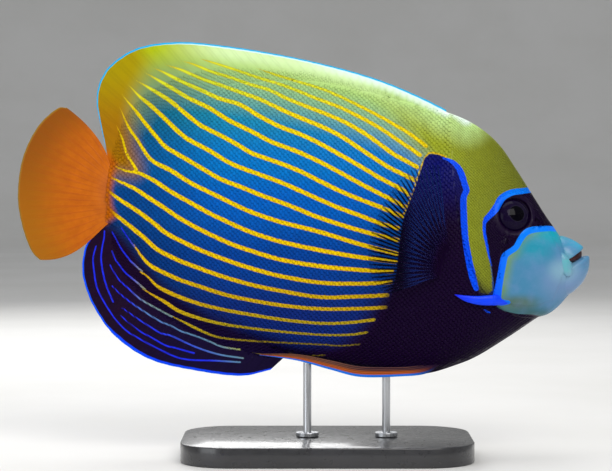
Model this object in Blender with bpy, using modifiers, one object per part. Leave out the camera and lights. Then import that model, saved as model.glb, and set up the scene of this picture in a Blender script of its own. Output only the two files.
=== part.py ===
"""Emperor angelfish, full grown, as a still life-size model on a plain display stand.

The fish swims nose down by a few degrees, with the dorsal fin low in front, the pectoral fins spread
and the pelvic fins folded back along the belly. Sizes are in millimetres: x runs from the tail to the
nose, y to the fish's left and z up. The origin is on the floor, under the middle of the fish.
"""

import math
from collections import namedtuple

import bmesh
import bpy
import numpy as np
from mathutils import Matrix, Vector
from mathutils.bvhtree import BVHTree

MM = 0.001
GAP = 0.3
WELD = 0.08
FAR = 200.0

# Cross-sections of the body, each a bow from the back to the belly. "bend" pulls the bow, "level" is
# the share of the way down where it is widest, and crest and keel are half the width of its two edges.
Section = namedtuple("Section", "top bottom bend half_width level crest keel back_power belly_power")
SECTIONS = {
    "tail root": Section((-118.4, 175.4), (-118.4, 142.6), (-118.4, 159), 4.6, 0.50, 1.5, 1.5, 0.60, 0.60),
    "tail stalk": Section((-109.5, 182.5), (-110.5, 138), (-111, 160), 6.0, 0.50, 1.5, 1.5, 0.70, 0.70),
    "rear": Section((-93.5, 201), (-96, 118.5), (-96, 159), 9.5, 0.50, 1.5, 1.5, 0.75, 0.75),
    "loin": Section((-69, 216.5), (-69, 96), (-70.5, 156), 15, 0.50, 1.6, 1.6, 0.75, 0.75),
    "flank": Section((-39, 226.5), (-39, 76.5), (-40, 152), 20.5, 0.50, 1.6, 1.7, 0.75, 0.72),
    "middle": Section((-2.5, 228), (-2.5, 62.5), (-3.5, 146), 24, 0.50, 1.6, 2.6, 0.75, 0.60),
    "chest": Section((34, 222), (34, 55.2), (31.5, 139), 26, 0.50, 1.5, 3.4, 0.74, 0.54),
    "shoulder": Section((63, 214.5), (67.5, 51.6), (59.5, 132), 26.8, 0.50, 1.4, 3.4, 0.72, 0.52),
    "breast": Section((77.5, 210.5), (96, 58.3), (74, 110.5), 27, 0.50, 1.3, 2.6, 0.70, 0.52),
    "throat": Section((85, 209), (122, 72.2), (80.7, 88), 27, 0.50, 1.2, 1.8, 0.68, 0.54),
    "gill": Section((90, 207.4), (142, 85), (86.8, 83.2), 27, 0.50, 1.1, 1.2, 0.66, 0.56),
    "gill cover": Section((98.3, 204), (144, 85.5), (97, 89.2), 27, 0.50, 1.0, 1.0, 0.62, 0.56),
    "cheek": Section((109.3, 197.3), (146.3, 86.2), (111.7, 92.3), 26, 0.52, 1.0, 1.0, 0.58, 0.56),
    "behind eye": Section((119, 188.2), (148.7, 87.5), (122, 101.4), 24, 0.54, 1.0, 1.0, 0.55, 0.55),
    "eye": Section((128.7, 174.2), (152, 89.9), (133.5, 110.5), 21.5, 0.54, 1.0, 1.0, 0.53, 0.54),
    "before eye": Section((138.4, 159), (155.8, 93.4), (143.3, 118.4), 18.5, 0.53, 1.0, 1.0, 0.52, 0.53),
    "snout": Section((146.9, 145.7), (159.8, 98), (151.8, 120.8), 15.5, 0.52, 1.0, 1.0, 0.50, 0.52),
    "lip root": Section((152.8, 137.4), (163, 101.4), (157.2, 120.2), 12.5, 0.50, 1.0, 1.0, 0.50, 0.50),
    "muzzle": Section((156.6, 131.5), (165.6, 104.6), (161, 119.5), 9.5, 0.50, 1.0, 1.0, 0.50, 0.50),
    "mouth": Section((159, 126), (165, 111), (162.5, 119), 5.5, 0.50, 1.0, 1.0, 0.50, 0.50),
}
PLACES = {name: place for place, name in enumerate(SECTIONS)}
RING_STEPS = 16
HEAD_STEPS, TRUNK_STEPS, FINE = 2, 2, 6
GILL_STEP, GILL_FADE = 1.0, 0.9
GILL_TOP, GILL_FULL = 0.16, 0.30
CHEEK_STEP, CHEEK_EDGE, CHEEK_RUN = 0.8, 0.07, 1.6

# Eyes and the parts of the face.
EYE_AT, EYE_RADIUS, EYE_HALF_DEPTH, EYE_PROUD = (126.3, 147.5), 10.4, 6.5, 3.3
EYE_SIDES, EYE_GAP = 20, 0.33
ORBIT_RISE, ORBIT_BREADTH = 0.8, 2.6
NOSTRILS, NOSTRIL_RADIUS = ((139.3, 144.2), (141.6, 140.2)), 1.0

# The spine at the corner of the cheek plate: x, z and half its height from its root to its tip. It
# lies in the cheek at its root, and is free of it from the share of its length named here.
SPINE = ((121.5, 97.2, 3.3), (111, 96.7, 3.1), (103.5, 96.7, 2.6), (96, 97.9, 1.8), (89.8, 100.1, 0.3))
SPINE_FLAT, SPINE_SUNK, SPINE_FREE = 0.5, 2.4, 0.32

# Lips. Each outline is the lip's section in the middle plane, clockwise, and shrinks to its corner at
# either side of the mouth. The room is the hollow between the lips, and the plate is the flat bone beside them.
UPPER_LIP = (
    (150, 128), (153.5, 133.4), (156.6, 134.2), (161.9, 132.5), (166.6, 129.8), (169.4, 127.3), (167.4, 125),
    (163.6, 122), (158, 119.6), (151, 119),
)
LOWER_LIP = (
    (151, 117), (158, 118), (165.2, 120.8), (170, 122), (172.9, 121.8), (173.4, 118.4), (172.5, 112.9),
    (169.6, 106.7), (165.8, 102.4), (161.2, 98.9), (155.5, 97.6), (150.5, 101), (149, 113),
)
MOUTH_ROOM = ((151, 121), (166, 126), (172, 124), (166, 118), (151, 115))
UPPER_CORNER, LOWER_CORNER, ROOM_CORNER = (158.5, 120.4), (157, 112), (158, 116.5)
LIP_WIDTH, ROOM_WIDTH, LIP_GAP, LIP_TURN = 12.2, 12.6, 0.45, 1.45
JAW_PLATE, PLATE_SIZE, PLATE_LEAN, PLATE_PROUD = (156.4, 117.6), (4.4, 2.6, 7.4), -2.4, 0.9

# Fins. Each outline is the free edge, listed the way its rays are numbered.
MEMBRANE, FIN_EDGE, FIN_GAP = 0.34, 0.26, 0.42
RAY_RISE, RAY_BREADTH = 0.42, 0.9
FIN_FOOT, FIN_ROWS, FIN_TAPER, FIN_END = 1.4, 5, 2.0, 0.995
DORSAL_SPINES, DORSAL_RAYS, DORSAL_FRONT_X = 14, 20, 86.5
DORSAL_EDGE = (
    (86, 210.8), (70.5, 218.5), (49, 227.5), (25, 235), (-8.5, 242.8), (-45, 248.9), (-75, 251.6),
    (-99.5, 248.3), (-116, 238.6), (-123.4, 228), (-125.6, 216.7), (-124, 205), (-119.8, 186),
)
ANAL_SPINES, ANAL_RAYS, ANAL_FRONT_X = 3, 19, -8.0
ANAL_EDGE = (
    (-20.5, 52.6), (-38.8, 49), (-66, 52.2), (-93.5, 59), (-114.7, 73), (-127.5, 90.4),
    (-133.4, 105), (-134.8, 114.5), (-134, 123), (-132.2, 128.7), (-128.6, 132.5), (-124.1, 136.3),
    (-119.2, 140.2),
)
TAIL_RAYS, TAIL_ROWS, TAIL_TAPER = 17, 9, 7.0
# How far the tail's upper and lower sides bow out, and how near the root each bow begins.
TAIL_BOWS = ((15.0, 0.8), (31.0, 1.5))
TAIL_EDGE = (
    (-143.8, 212), (-149.9, 211.2), (-161.5, 200.3), (-170.6, 181.5), (-173.6, 159),
    (-171, 140.5), (-165.7, 125.6), (-160.5, 119.6),
)
PECTORAL_RAYS, PECTORAL_FLARE, PECTORAL_SUNK, PECTORAL_RISE, PECTORAL_LIFT = 19, 20.0, 3.0, 3.6, 8.0
PECTORAL_FOOT, PECTORAL_RAY = 1.0, 0.8
PECTORAL_ROOT = ((86.4, 125.4), (84.4, 112.4))
PECTORAL_EDGE = (
    (79.5, 177.5), (66, 176.4), (53.4, 165.1), (43.7, 148.7), (38.2, 131.7),
    (38.4, 116.5), (42.5, 107), (50.5, 101),
)
PELVIC_RAYS, PELVIC_OUT, PELVIC_LEAN, PELVIC_DRAW = 6, 6.3, 1.5, 1.2
PELVIC_HALF, PELVIC_FOOT, PELVIC_RAY = 0.42, 0.5, 0.3
PELVIC_LOW = ((83, 57), (73.5, 51), (58, 49.3), (34, 49), (15.8, 53.4), (-4, 58.8), (-27, 62.2))
PELVIC_HIGH = ((81, 59), (71, 56.5), (58, 55.2), (34, 55.6), (15.8, 59.2), (-4, 62.8), (-26, 63.2))

# Display stand.
BASE_LENGTH, BASE_BREADTH, BASE_HEIGHT, BASE_ROUND = 176.0, 108.0, 12.0, 1.6
BASE_AT, BASE_CORNER = 14.0, 30.0
ROD_RADIUS, ROD_FOOT_RADIUS, ROD_FOOT_HEIGHT, ROD_SUNK = 2.5, 7.0, 2.4, 7.0
ROD_PLACES = {"rear": 2.0, "front": 50.0}

Look = namedtuple("Look", "colour roughness metallic")
LOOKS = {
    "flank skin": Look((0.02, 0.16, 0.55), 0.4, 0.0),
    "head skin": Look((0.45, 0.42, 0.06), 0.4, 0.0),
    "pale lips": Look((0.35, 0.60, 0.68), 0.35, 0.0),
    "dark eye": Look((0.01, 0.008, 0.012), 0.08, 0.0),
    "dorsal skin": Look((0.55, 0.50, 0.05), 0.4, 0.0),
    "anal skin": Look((0.03, 0.004, 0.05), 0.4, 0.0),
    "orange fin": Look((0.75, 0.25, 0.0), 0.4, 0.0),
    "clear fin": Look((0.02, 0.02, 0.06), 0.35, 0.0),
    "rust fin": Look((0.35, 0.09, 0.01), 0.4, 0.0),
    "stand base": Look((0.02, 0.02, 0.022), 0.35, 0.0),
    "stand steel": Look((0.6, 0.6, 0.6), 0.3, 1.0),
}


def clear_scene():
    for old in list(bpy.data.objects):
        bpy.data.objects.remove(old)


def new_collection(name):
    made = bpy.data.collections.new(name)
    bpy.context.scene.collection.children.link(made)
    return made


def material(name):
    made = bpy.data.materials.get(name)
    if made is None:
        look = LOOKS[name]
        made = bpy.data.materials.new(name)
        made.use_nodes = True
        shader = made.node_tree.nodes["Principled BSDF"]
        shader.inputs["Base Color"].default_value = (*look.colour, 1.0)
        shader.inputs["Roughness"].default_value = look.roughness
        shader.inputs["Metallic"].default_value = look.metallic
        made.diffuse_color = (*look.colour, 1.0)
    return made


def finish(obj, look, smooth_angle=40.0):
    obj.data.materials.append(material(look))
    obj.data.shade_smooth()
    obj.data.set_sharp_from_angle(angle=math.radians(smooth_angle))
    return obj


def object_from(name, home, points, faces):
    """A mesh object from points in millimetres, with its faces turned outwards."""
    mesh = bpy.data.meshes.new(name)
    mesh.from_pydata([tuple(float(v) * MM for v in point) for point in points], [], faces)
    shape = bmesh.new()
    shape.from_mesh(mesh)
    bmesh.ops.recalc_face_normals(shape, faces=shape.faces)
    shape.to_mesh(mesh)
    shape.free()
    made = bpy.data.objects.new(name, mesh)
    home.objects.link(made)
    return made


def as_cutter(obj):
    """Moves a tool out of the model and into the cutters' own collection."""
    for holder in list(obj.users_collection):
        holder.objects.unlink(obj)
    bpy.data.collections["cutters"].objects.link(obj)
    obj.hide_render = True
    obj.display_type = "WIRE"
    return obj


def keep_largest(mesh):
    """Welds the tiny edges of a cut, and drops every loose piece but the one with most corners."""
    shape = bmesh.new()
    shape.from_mesh(mesh)
    bmesh.ops.remove_doubles(shape, verts=shape.verts, dist=WELD * MM)
    left, pieces = set(shape.verts), []
    while left:
        edge_of_piece = [left.pop()]
        piece = set(edge_of_piece)
        while edge_of_piece:
            for edge in edge_of_piece.pop().link_edges:
                for corner in edge.verts:
                    if corner in left:
                        left.remove(corner)
                        piece.add(corner)
                        edge_of_piece.append(corner)
        pieces.append(piece)
    pieces.sort(key=len)
    for piece in pieces[:-1]:
        bmesh.ops.delete(shape, geom=list(piece), context="VERTS")
    shape.to_mesh(mesh)
    shape.free()


def carve(obj, tools, operation):
    """Cuts the tools from the object, or joins them to it, and keeps the result as one body."""
    for tool in tools:
        step = obj.modifiers.new(tool.name, "BOOLEAN")
        step.operation = operation
        step.object = tool
        step.solver = "EXACT"
    bpy.context.view_layer.update()
    graph = bpy.context.evaluated_depsgraph_get()
    carved = bpy.data.meshes.new_from_object(obj.evaluated_get(graph))
    obj.modifiers.clear()
    obj.data = carved
    keep_largest(carved)
    return obj


def curve_through(points, shares):
    """Points at these shares of the length of one smooth curve through the named points."""
    knots = np.asarray(points, float)
    ends = np.vstack([2 * knots[0] - knots[1], knots, 2 * knots[-1] - knots[-2]])
    t = np.linspace(0, 1, 16, endpoint=False)[:, None]
    runs = [
        0.5 * (2 * b + (c - a) * t + (2 * a - 5 * b + 4 * c - d) * t**2 + (3 * b - a - 3 * c + d) * t**3)
        for a, b, c, d in zip(ends, ends[1:], ends[2:], ends[3:])
    ]
    line = np.vstack([*runs, knots[-1:]])
    along = np.concatenate([[0], np.cumsum(np.linalg.norm(np.diff(line, axis=0), axis=1))])
    wanted = np.asarray(shares, float) * along[-1]
    return np.stack([np.interp(wanted, along, line[:, k]) for k in range(line.shape[1])], axis=-1)


def blend_rows(rows, where):
    """Rows of numbers, blended smoothly and with no overshoot between whole row numbers."""
    rows = np.asarray(rows, float)
    step = np.diff(rows, axis=0)
    slope = np.zeros_like(rows)
    slope[0], slope[-1] = step[0], step[-1]
    same_way = step[:-1] * step[1:] > 0
    total = np.where(same_way, step[:-1] + step[1:], 1.0)
    slope[1:-1] = np.where(same_way, 2 * step[:-1] * step[1:] / total, 0.0)
    row = min(int(where), len(step) - 1)
    t = where - row
    return (
        (1 + 2 * t) * (1 - t) ** 2 * rows[row]
        + t * (1 - t) ** 2 * slope[row]
        + t * t * (3 - 2 * t) * rows[row + 1]
        + t * t * (t - 1) * slope[row + 1]
    )


def ramp(value, low, high):
    share = np.clip((value - low) / (high - low), 0, 1)
    return share * share * (3 - 2 * share)


def section_at(place):
    """The cross-section at a place along the body, counted in named sections from the tail root."""
    rows = [np.hstack([np.ravel(part) for part in section]) for section in SECTIONS.values()]
    row = blend_rows(rows, place)
    return Section(row[0:2], row[2:4], row[4:6], *row[6:])


def orbit_rise(x, z):
    """How far the rim of bone round the eye lifts the skin."""
    off = np.hypot(x - EYE_AT[0], z - EYE_AT[1]) - EYE_RADIUS - ORBIT_BREADTH / 2
    return ORBIT_RISE * np.exp(-((off / ORBIT_BREADTH) ** 2))


def half_ring(place, steps=RING_STEPS, gill_dip=False, grow=0.0):
    """Points of the left half of a cross-section, from the back to the belly."""
    section = section_at(place)
    share = (1 - np.cos(np.linspace(0, math.pi, steps + 1))) / 2
    across = share[:, None]
    bow = (1 - across) ** 2 * section.top + across**2 * section.bottom
    bow = bow + 2 * across * (1 - across) * section.bend
    power = section.back_power + (section.belly_power - section.back_power) * share
    level = math.log(0.5) / math.log(section.level)
    swell = np.clip(np.sin(math.pi * share**level), 0, 1) ** power
    edge = section.crest + (section.keel - section.crest) * share
    half = np.hypot(section.half_width * swell, edge)
    run = np.gradient(bow, axis=0)
    run /= np.linalg.norm(run, axis=1)[:, None]
    bow = bow + grow * (2 * across - 1) * run
    if gill_dip:
        near = math.exp(-(((PLACES["gill"] - place) / GILL_FADE) ** 2))
        half = half - GILL_STEP * near * ramp(share, GILL_TOP, GILL_FULL) * ramp(1 - share, 0, 0.05)
    elif place > PLACES["gill"]:
        half = half + orbit_rise(bow[:, 0], bow[:, 1]) * ramp(share, 0.02, 0.12)
        ahead = place - PLACES["cheek"]
        if ahead > 0:
            fade = ramp(share, 0.25, 0.4) * ramp(1 - share, 0.05, 0.2)
            half = half + CHEEK_STEP * max(0, 1 - ahead / CHEEK_RUN) * fade
    return np.stack([bow[:, 0], half + grow, bow[:, 1]], axis=-1)


def loft(name, home, halves):
    """A closed body through half rings of the same count, mirrored to the fish's right."""
    count = len(halves[0])
    points = []
    for half in halves:
        points.extend(half)
        points.extend((x, -y, z) for x, y, z in half[::-1])
    size = 2 * count
    faces = []
    for ring in range(len(halves) - 1):
        near, far = ring * size, (ring + 1) * size
        for k in range(size):
            after = (k + 1) % size
            faces.append((near + k, near + after, far + after, far + k))
    last = (len(halves) - 1) * size
    for start in (0, last):
        for k in range(count - 1):
            faces.append((start + k, start + k + 1, start + size - 2 - k, start + size - 1 - k))
    return object_from(name, home, points, faces)


def body_rings(first, last, steps, gill_dip=False, grow=0.0):
    """Half rings from one named section to another, with one more at the step of the cheek plate."""
    places = list(np.linspace(PLACES[first], PLACES[last], (PLACES[last] - PLACES[first]) * steps + 1))
    if PLACES[first] < PLACES["cheek"] < PLACES[last]:
        places = sorted([*places, PLACES["cheek"] + CHEEK_EDGE])
    return [half_ring(place, gill_dip=gill_dip, grow=grow) for place in places]


def stepped_back(ring, step):
    """The ring, moved square to itself towards the tail to leave room for its neighbour."""
    run = np.gradient(ring[:, (0, 2)], axis=0)
    run /= np.linalg.norm(run, axis=1)[:, None]
    return ring + step * np.stack([run[:, 1], 0 * run[:, 0], -run[:, 0]], axis=-1)


class BodySurface:
    """The whole body as one fine surface, to place on it what grows from it."""

    def __init__(self):
        places = np.linspace(0, len(SECTIONS) - 1, (len(SECTIONS) - 1) * FINE + 1)
        rings = [half_ring(place, steps=40) for place in places]
        points = [tuple(p) for ring in rings for p in ring]
        size = len(rings[0])
        faces = [
            (r * size + k, r * size + k + 1, (r + 1) * size + k + 1, (r + 1) * size + k)
            for r in range(len(rings) - 1)
            for k in range(size - 1)
        ]
        self.tree = BVHTree.FromPolygons(points, faces)
        coarse = rings[:: FINE // TRUNK_STEPS]
        self.crest = np.array([ring[0] for ring in coarse])
        self.belly = np.array([ring[-1] for ring in coarse])

    def skin_at(self, x, z):
        """The point of the left flank seen at x and z from the side, and the way it faces."""
        point, normal = self.tree.ray_cast(Vector((x, FAR, z)), Vector((0, -1, 0)))[:2]
        return point, normal if normal.y > 0 else -normal

    def half_width(self, x, z):
        return self.skin_at(x, z)[0].y


def build_trunk(home, surface):
    rings = body_rings("rear", "gill", TRUNK_STEPS, gill_dip=True)
    rings[0] = stepped_back(rings[0], -GAP / 2)
    rings[-1] = stepped_back(rings[-1], GAP)
    trunk = loft("trunk", home, rings)
    sockets = []
    for name, x in ROD_PLACES.items():
        top = rod_top(surface, x) + GAP
        sockets.append(as_cutter(cylinder(f"{name} socket", home, ROD_RADIUS + GAP, x, top, BASE_HEIGHT)))
    return finish(carve(trunk, sockets, "DIFFERENCE"), "flank skin")


def build_stalk(home):
    rings = body_rings("tail root", "rear", TRUNK_STEPS)
    rings[-1] = stepped_back(rings[-1], GAP / 2)
    return finish(loft("tail_stalk", home, rings), "flank skin")


def grown_body(home, name):
    """The trunk, a gap wider all round, to cut the roots of the paired fins."""
    return as_cutter(loft(name, home, body_rings("rear", "gill", TRUNK_STEPS, gill_dip=True, grow=GAP)))


def ball(name, home, at, radii, segments, facing=(0, 1, 0)):
    """A flattened ball whose middle radius lies the way it faces."""
    shape = bmesh.new()
    bmesh.ops.create_uvsphere(shape, u_segments=segments, v_segments=segments // 2, radius=1.0)
    poles = Matrix.Rotation(math.pi / 2, 4, "X")
    scaled = Matrix.Diagonal((*[radius * MM for radius in radii], 1.0))
    turned = Vector((0, 1, 0)).rotation_difference(Vector(facing)).to_matrix().to_4x4()
    placed = Matrix.Translation([v * MM for v in at])
    bmesh.ops.transform(shape, matrix=placed @ turned @ scaled @ poles, verts=shape.verts)
    mesh = bpy.data.meshes.new(name)
    shape.to_mesh(mesh)
    shape.free()
    made = bpy.data.objects.new(name, mesh)
    home.objects.link(made)
    return made


def cylinder(name, home, radius, x, top, bottom, segments=20):
    shape = bmesh.new()
    middle = Vector((x, 0, (top + bottom) / 2)) * MM
    bmesh.ops.create_cone(
        shape, cap_ends=True, segments=segments, radius1=radius * MM, radius2=radius * MM,
        depth=(top - bottom) * MM, matrix=Matrix.Translation(middle),
    )
    mesh = bpy.data.meshes.new(name)
    shape.to_mesh(mesh)
    shape.free()
    made = bpy.data.objects.new(name, mesh)
    home.objects.link(made)
    return made


def eyeball(name, home, surface, side, grow=0.0):
    """A ball set in the skin so that it faces the way the cheek does."""
    skin, facing = surface.skin_at(*EYE_AT)
    centre = skin + facing * (EYE_PROUD - EYE_HALF_DEPTH)
    radii = [radius + grow for radius in (EYE_RADIUS, EYE_HALF_DEPTH, EYE_RADIUS)]
    across = Vector((1, side, 1))
    return ball(name, home, centre * across, radii, EYE_SIDES, facing * across)


def lip_rings(outline, corner, width=LIP_WIDTH, grow=0.0, along=11, around=18):
    """Sections across the mouth: an outline that shrinks to its corner at either side."""
    ring = curve_through([*outline, outline[0]], np.linspace(0, 1, around, endpoint=False))
    run = np.roll(ring, -1, axis=0) - np.roll(ring, 1, axis=0)
    outward = np.stack([-run[:, 1], run[:, 0]], axis=-1) / np.linalg.norm(run, axis=1)[:, None]
    rings = []
    for turn in np.linspace(-LIP_TURN, LIP_TURN, along):
        shrunk = np.array(corner) + math.cos(turn) * (ring - np.array(corner)) + grow * outward
        rings.append([Vector((x, (width + grow) * math.sin(turn), z)) for x, z in shrunk])
    return rings


def plate_rings(surface, side, grow=0.0, along=9, around=12):
    """The flat bone at the corner of the upper jaw, an egg sunk in the cheek."""
    x, z = JAW_PLATE
    middle = Vector((x, side * (surface.half_width(x, z) + PLATE_PROUD - PLATE_SIZE[1]), z))
    size = Vector(PLATE_SIZE) + Vector((grow, grow, grow))
    rings = []
    for rise in np.linspace(-LIP_TURN, LIP_TURN, along):
        level, up = math.cos(rise), math.sin(rise)
        turn = np.linspace(0, 2 * math.pi, around, endpoint=False)
        spread = [Vector((level * math.cos(w), level * math.sin(w), up)) * size for w in turn]
        rings.append([middle + point + Vector((PLATE_LEAN * up, 0, 0)) for point in spread])
    return rings


def tube(name, home, rings):
    """A closed body through rings of points, with a point at the middle of each end."""
    size = len(rings[0])
    points = [point for ring in rings for point in ring]
    faces = [
        (r * size + k, r * size + (k + 1) % size, (r + 1) * size + (k + 1) % size, (r + 1) * size + k)
        for r in range(len(rings) - 1)
        for k in range(size)
    ]
    for ring, start in ((rings[0], 0), (rings[-1], (len(rings) - 1) * size)):
        points.append(sum(ring, Vector()) / size)
        middle = len(points) - 1
        faces.extend((start + k, start + (k + 1) % size, middle) for k in range(size))
    return object_from(name, home, points, faces)


def mouth_cutters(home, surface, word, lips):
    """Grown copies of the named lips and of the plates, to cut their room out of something."""
    cutters = [
        tube(f"{word} lip {k}", home, lip_rings(outline, corner, grow=LIP_GAP))
        for k, (outline, corner) in enumerate(lips)
    ]
    cutters.extend(
        tube(f"{word} jaw plate {side}", home, plate_rings(surface, side, LIP_GAP)) for side in (1, -1)
    )
    return [as_cutter(cutter) for cutter in cutters]


def build_lips(home, surface):
    upper = tube("upper_lip", home, lip_rings(UPPER_LIP, UPPER_CORNER))
    plates = [as_cutter(tube(f"jaw plate {side}", home, plate_rings(surface, side))) for side in (1, -1)]
    finish(carve(upper, plates, "UNION"), "pale lips", 60)
    lower = tube("lower_lip", home, lip_rings(LOWER_LIP, LOWER_CORNER))
    cutters = mouth_cutters(home, surface, "room for the upper", [(UPPER_LIP, UPPER_CORNER)])
    finish(carve(lower, cutters, "DIFFERENCE"), "pale lips", 60)


def cheek_spine(home, surface, side):
    """The long spine of the cheek plate, a flattened cone that clears the gill cover."""
    rings = []
    shares = np.linspace(0, 1, 9)
    turn = np.linspace(0, 2 * math.pi, 8, endpoint=False)
    for share, (x, z, radius) in zip(shares, curve_through(SPINE, shares)):
        free = ramp(share, 0, SPINE_FREE)
        rise = (SPINE_FLAT * radius + GAP / 2) * free - SPINE_SUNK * (1 - free)
        centre = Vector((x, side * (surface.half_width(x, z) + rise), z))
        spread = [Vector((0, SPINE_FLAT * math.cos(w), math.sin(w))) for w in turn]
        rings.append([centre + point * float(radius) for point in spread])
    return as_cutter(tube(f"cheek spine {side}", home, rings))


def build_head(home, surface):
    head = loft("head", home, body_rings("gill", "mouth", HEAD_STEPS))
    carve(head, [cheek_spine(home, surface, side) for side in (1, -1)], "UNION")
    lips = [(UPPER_LIP, UPPER_CORNER), (LOWER_LIP, LOWER_CORNER)]
    tools = mouth_cutters(home, surface, "seat of", lips)
    tools.append(as_cutter(tube("mouth room", home, lip_rings(MOUTH_ROOM, ROOM_CORNER, ROOM_WIDTH))))
    for side in (1, -1):
        tools.append(as_cutter(eyeball(f"eye socket {side}", home, surface, side, EYE_GAP)))
        for x, z in NOSTRILS:
            at = (x, side * surface.half_width(x, z), z)
            tools.append(as_cutter(ball(f"nostril {x} {side}", home, at, [NOSTRIL_RADIUS] * 3, 8)))
    return finish(carve(head, tools, "DIFFERENCE"), "head skin")


def ray_columns(rays, length=1.0, breadth=None):
    """Shares of a fin's base at which it is drawn, and how much of a ray each one carries.

    With a breadth in millimetres a ray is a narrow ridge. Without one the rays fill the fin.
    """
    side = 0.5 / rays if breadth is None else breadth / length
    columns = {0.0: 0.0, 1.0: 0.0}
    for ray in range(rays):
        middle = (ray + 0.5) / rays
        for share, carried in ((middle - side, 0.0), (middle, 1.0), (middle + side, 0.0)):
            columns[round(share, 6)] = carried
    shares = sorted(columns)
    return np.array(shares), np.array([columns[share] for share in shares])


def vane(name, home, middle, half, look):
    """A thin fin: a sheet of points, thickened to both sides, with both faces split alike."""
    rows, columns = half.shape
    out = np.stack([0 * half, half, 0 * half], axis=-1)
    points = [*(middle + out).reshape(-1, 3), *(middle - out).reshape(-1, 3)]
    under = rows * columns
    faces = []
    for r in range(rows - 1):
        for c in range(columns - 1):
            a, b = r * columns + c, r * columns + c + 1
            d, e = a + columns, b + columns
            for split in ((a, b, e), (a, e, d)):
                faces.extend((split, tuple(under + corner for corner in split)))
    rim = list(range(columns)) + [r * columns + columns - 1 for r in range(1, rows)]
    rim += [under - 1 - c for c in range(1, columns)] + [r * columns for r in range(rows - 2, 0, -1)]
    for a, b in zip(rim, rim[1:] + rim[:1]):
        faces.extend(((a, b, under + b), (a, under + b, under + a)))
    return finish(object_from(name, home, points, faces), look, 50)


def fin_sheet(root, edge, half_root, carries, rows, taper):
    """A flat fin between its base and its free edge, with the rays as ridges."""
    down = np.linspace(0, 1, rows)[:, None]
    flat = root[None] * (1 - down[..., None]) + edge[None] * down[..., None]
    middle = np.stack([flat[..., 0], np.zeros(flat.shape[:2]), flat[..., 1]], axis=-1)
    thin = MEMBRANE + (FIN_EDGE - MEMBRANE) * down
    half = thin + (half_root[None] - MEMBRANE) * (1 - down) ** taper
    half = half + RAY_RISE * carries[None] * ramp(down, 0.0, 0.15) * (1 - 0.75 * down)
    return middle, half


def base_line(points, shares, up):
    """A fin's base, a gap away from the crest or the belly that it follows."""
    along = np.concatenate([[0], np.cumsum(np.linalg.norm(np.diff(points, axis=0), axis=1))])
    line = np.stack([np.interp(shares * along[-1], along, points[:, k]) for k in range(2)], axis=-1)
    run = np.gradient(line, axis=0)
    run /= np.linalg.norm(run, axis=1)[:, None]
    normal = np.stack([-run[:, 1], run[:, 0]], axis=-1)
    normal *= np.sign(normal[:, 1:] * up)
    return line + normal * FIN_GAP


def build_dorsal(home, surface):
    line = surface.crest[surface.crest[:, 0] <= DORSAL_FRONT_X][::-1][:, (0, 2)]
    length = np.linalg.norm(np.diff(line, axis=0), axis=1).sum()
    shares, carries = ray_columns(DORSAL_SPINES + DORSAL_RAYS, length, RAY_BREADTH)
    root = base_line(line, shares * FIN_END, 1)
    edge = curve_through(DORSAL_EDGE, shares)
    middle, half = fin_sheet(root, edge, np.full(len(shares), FIN_FOOT), carries, FIN_ROWS, FIN_TAPER)
    return vane("dorsal_fin", home, middle, half, "dorsal skin")


def build_anal(home, surface):
    line = surface.belly[surface.belly[:, 0] <= ANAL_FRONT_X][::-1][:, (0, 2)]
    length = np.linalg.norm(np.diff(line, axis=0), axis=1).sum()
    shares, carries = ray_columns(ANAL_SPINES + ANAL_RAYS, length, RAY_BREADTH)
    root = base_line(line, shares * FIN_END, -1)
    edge = curve_through(ANAL_EDGE, shares)
    middle, half = fin_sheet(root, edge, np.full(len(shares), FIN_FOOT), carries, FIN_ROWS, FIN_TAPER)
    return vane("anal_fin", home, middle, half, "anal skin")


def build_tail_fin(home):
    ring = half_ring(PLACES["tail root"], steps=48)
    height = ring[0, 2] - ring[-1, 2]
    shares, carries = ray_columns(TAIL_RAYS)
    root = np.stack([np.full(len(shares), ring[0, 0] - GAP), ring[0, 2] - height * shares], axis=-1)
    half_root = np.interp(shares, (ring[0, 2] - ring[:, 2]) / height, ring[:, 1])
    edge = curve_through(TAIL_EDGE, shares)
    middle, half = fin_sheet(root, edge, half_root, carries, TAIL_ROWS, TAIL_TAPER)
    run = (edge - root) / np.linalg.norm(edge - root, axis=1)[:, None]
    down = np.linspace(0, 1, TAIL_ROWS)[:, None]
    upper, lower = [size * down**start * (1 - down) for size, start in TAIL_BOWS]
    bow = np.where(shares[None] < 0.5, upper, lower) * (1 - 2 * shares[None]) ** 3
    middle[..., 0] += bow * run[:, 1]
    middle[..., 2] -= bow * run[:, 0]
    return vane("tail_fin", home, middle, half, "orange fin")


def mirrored(middle, side):
    return middle * np.array([1.0, side, 1.0])


def build_pectoral(home, surface, side, name):
    shares, carries = ray_columns(PECTORAL_RAYS)
    root = curve_through(PECTORAL_ROOT, shares)
    edge = curve_through(PECTORAL_EDGE, shares)
    down = np.linspace(0, 1, 6)[:, None]
    flat = root[None] * (1 - down[..., None]) + edge[None] * down[..., None]
    reach = np.linalg.norm(flat - root[None], axis=-1)
    start = surface.half_width(*np.mean(PECTORAL_ROOT, axis=0)) - PECTORAL_SUNK
    lift = PECTORAL_RISE * ramp(reach, 0, PECTORAL_LIFT)
    out = start + lift + reach * math.tan(math.radians(PECTORAL_FLARE))
    middle = np.stack([flat[..., 0], out, flat[..., 1]], axis=-1)
    half = MEMBRANE + (FIN_EDGE - MEMBRANE) * down + PECTORAL_FOOT * (1 - down) ** 6
    half = half + PECTORAL_RAY * RAY_RISE * carries[None] * ramp(down, 0.05, 0.25) * (1 - 0.8 * down)
    fin = vane(name, home, mirrored(middle, side), half, "clear fin")
    return carve(fin, [grown_body(home, f"{name} room")], "DIFFERENCE")


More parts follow.
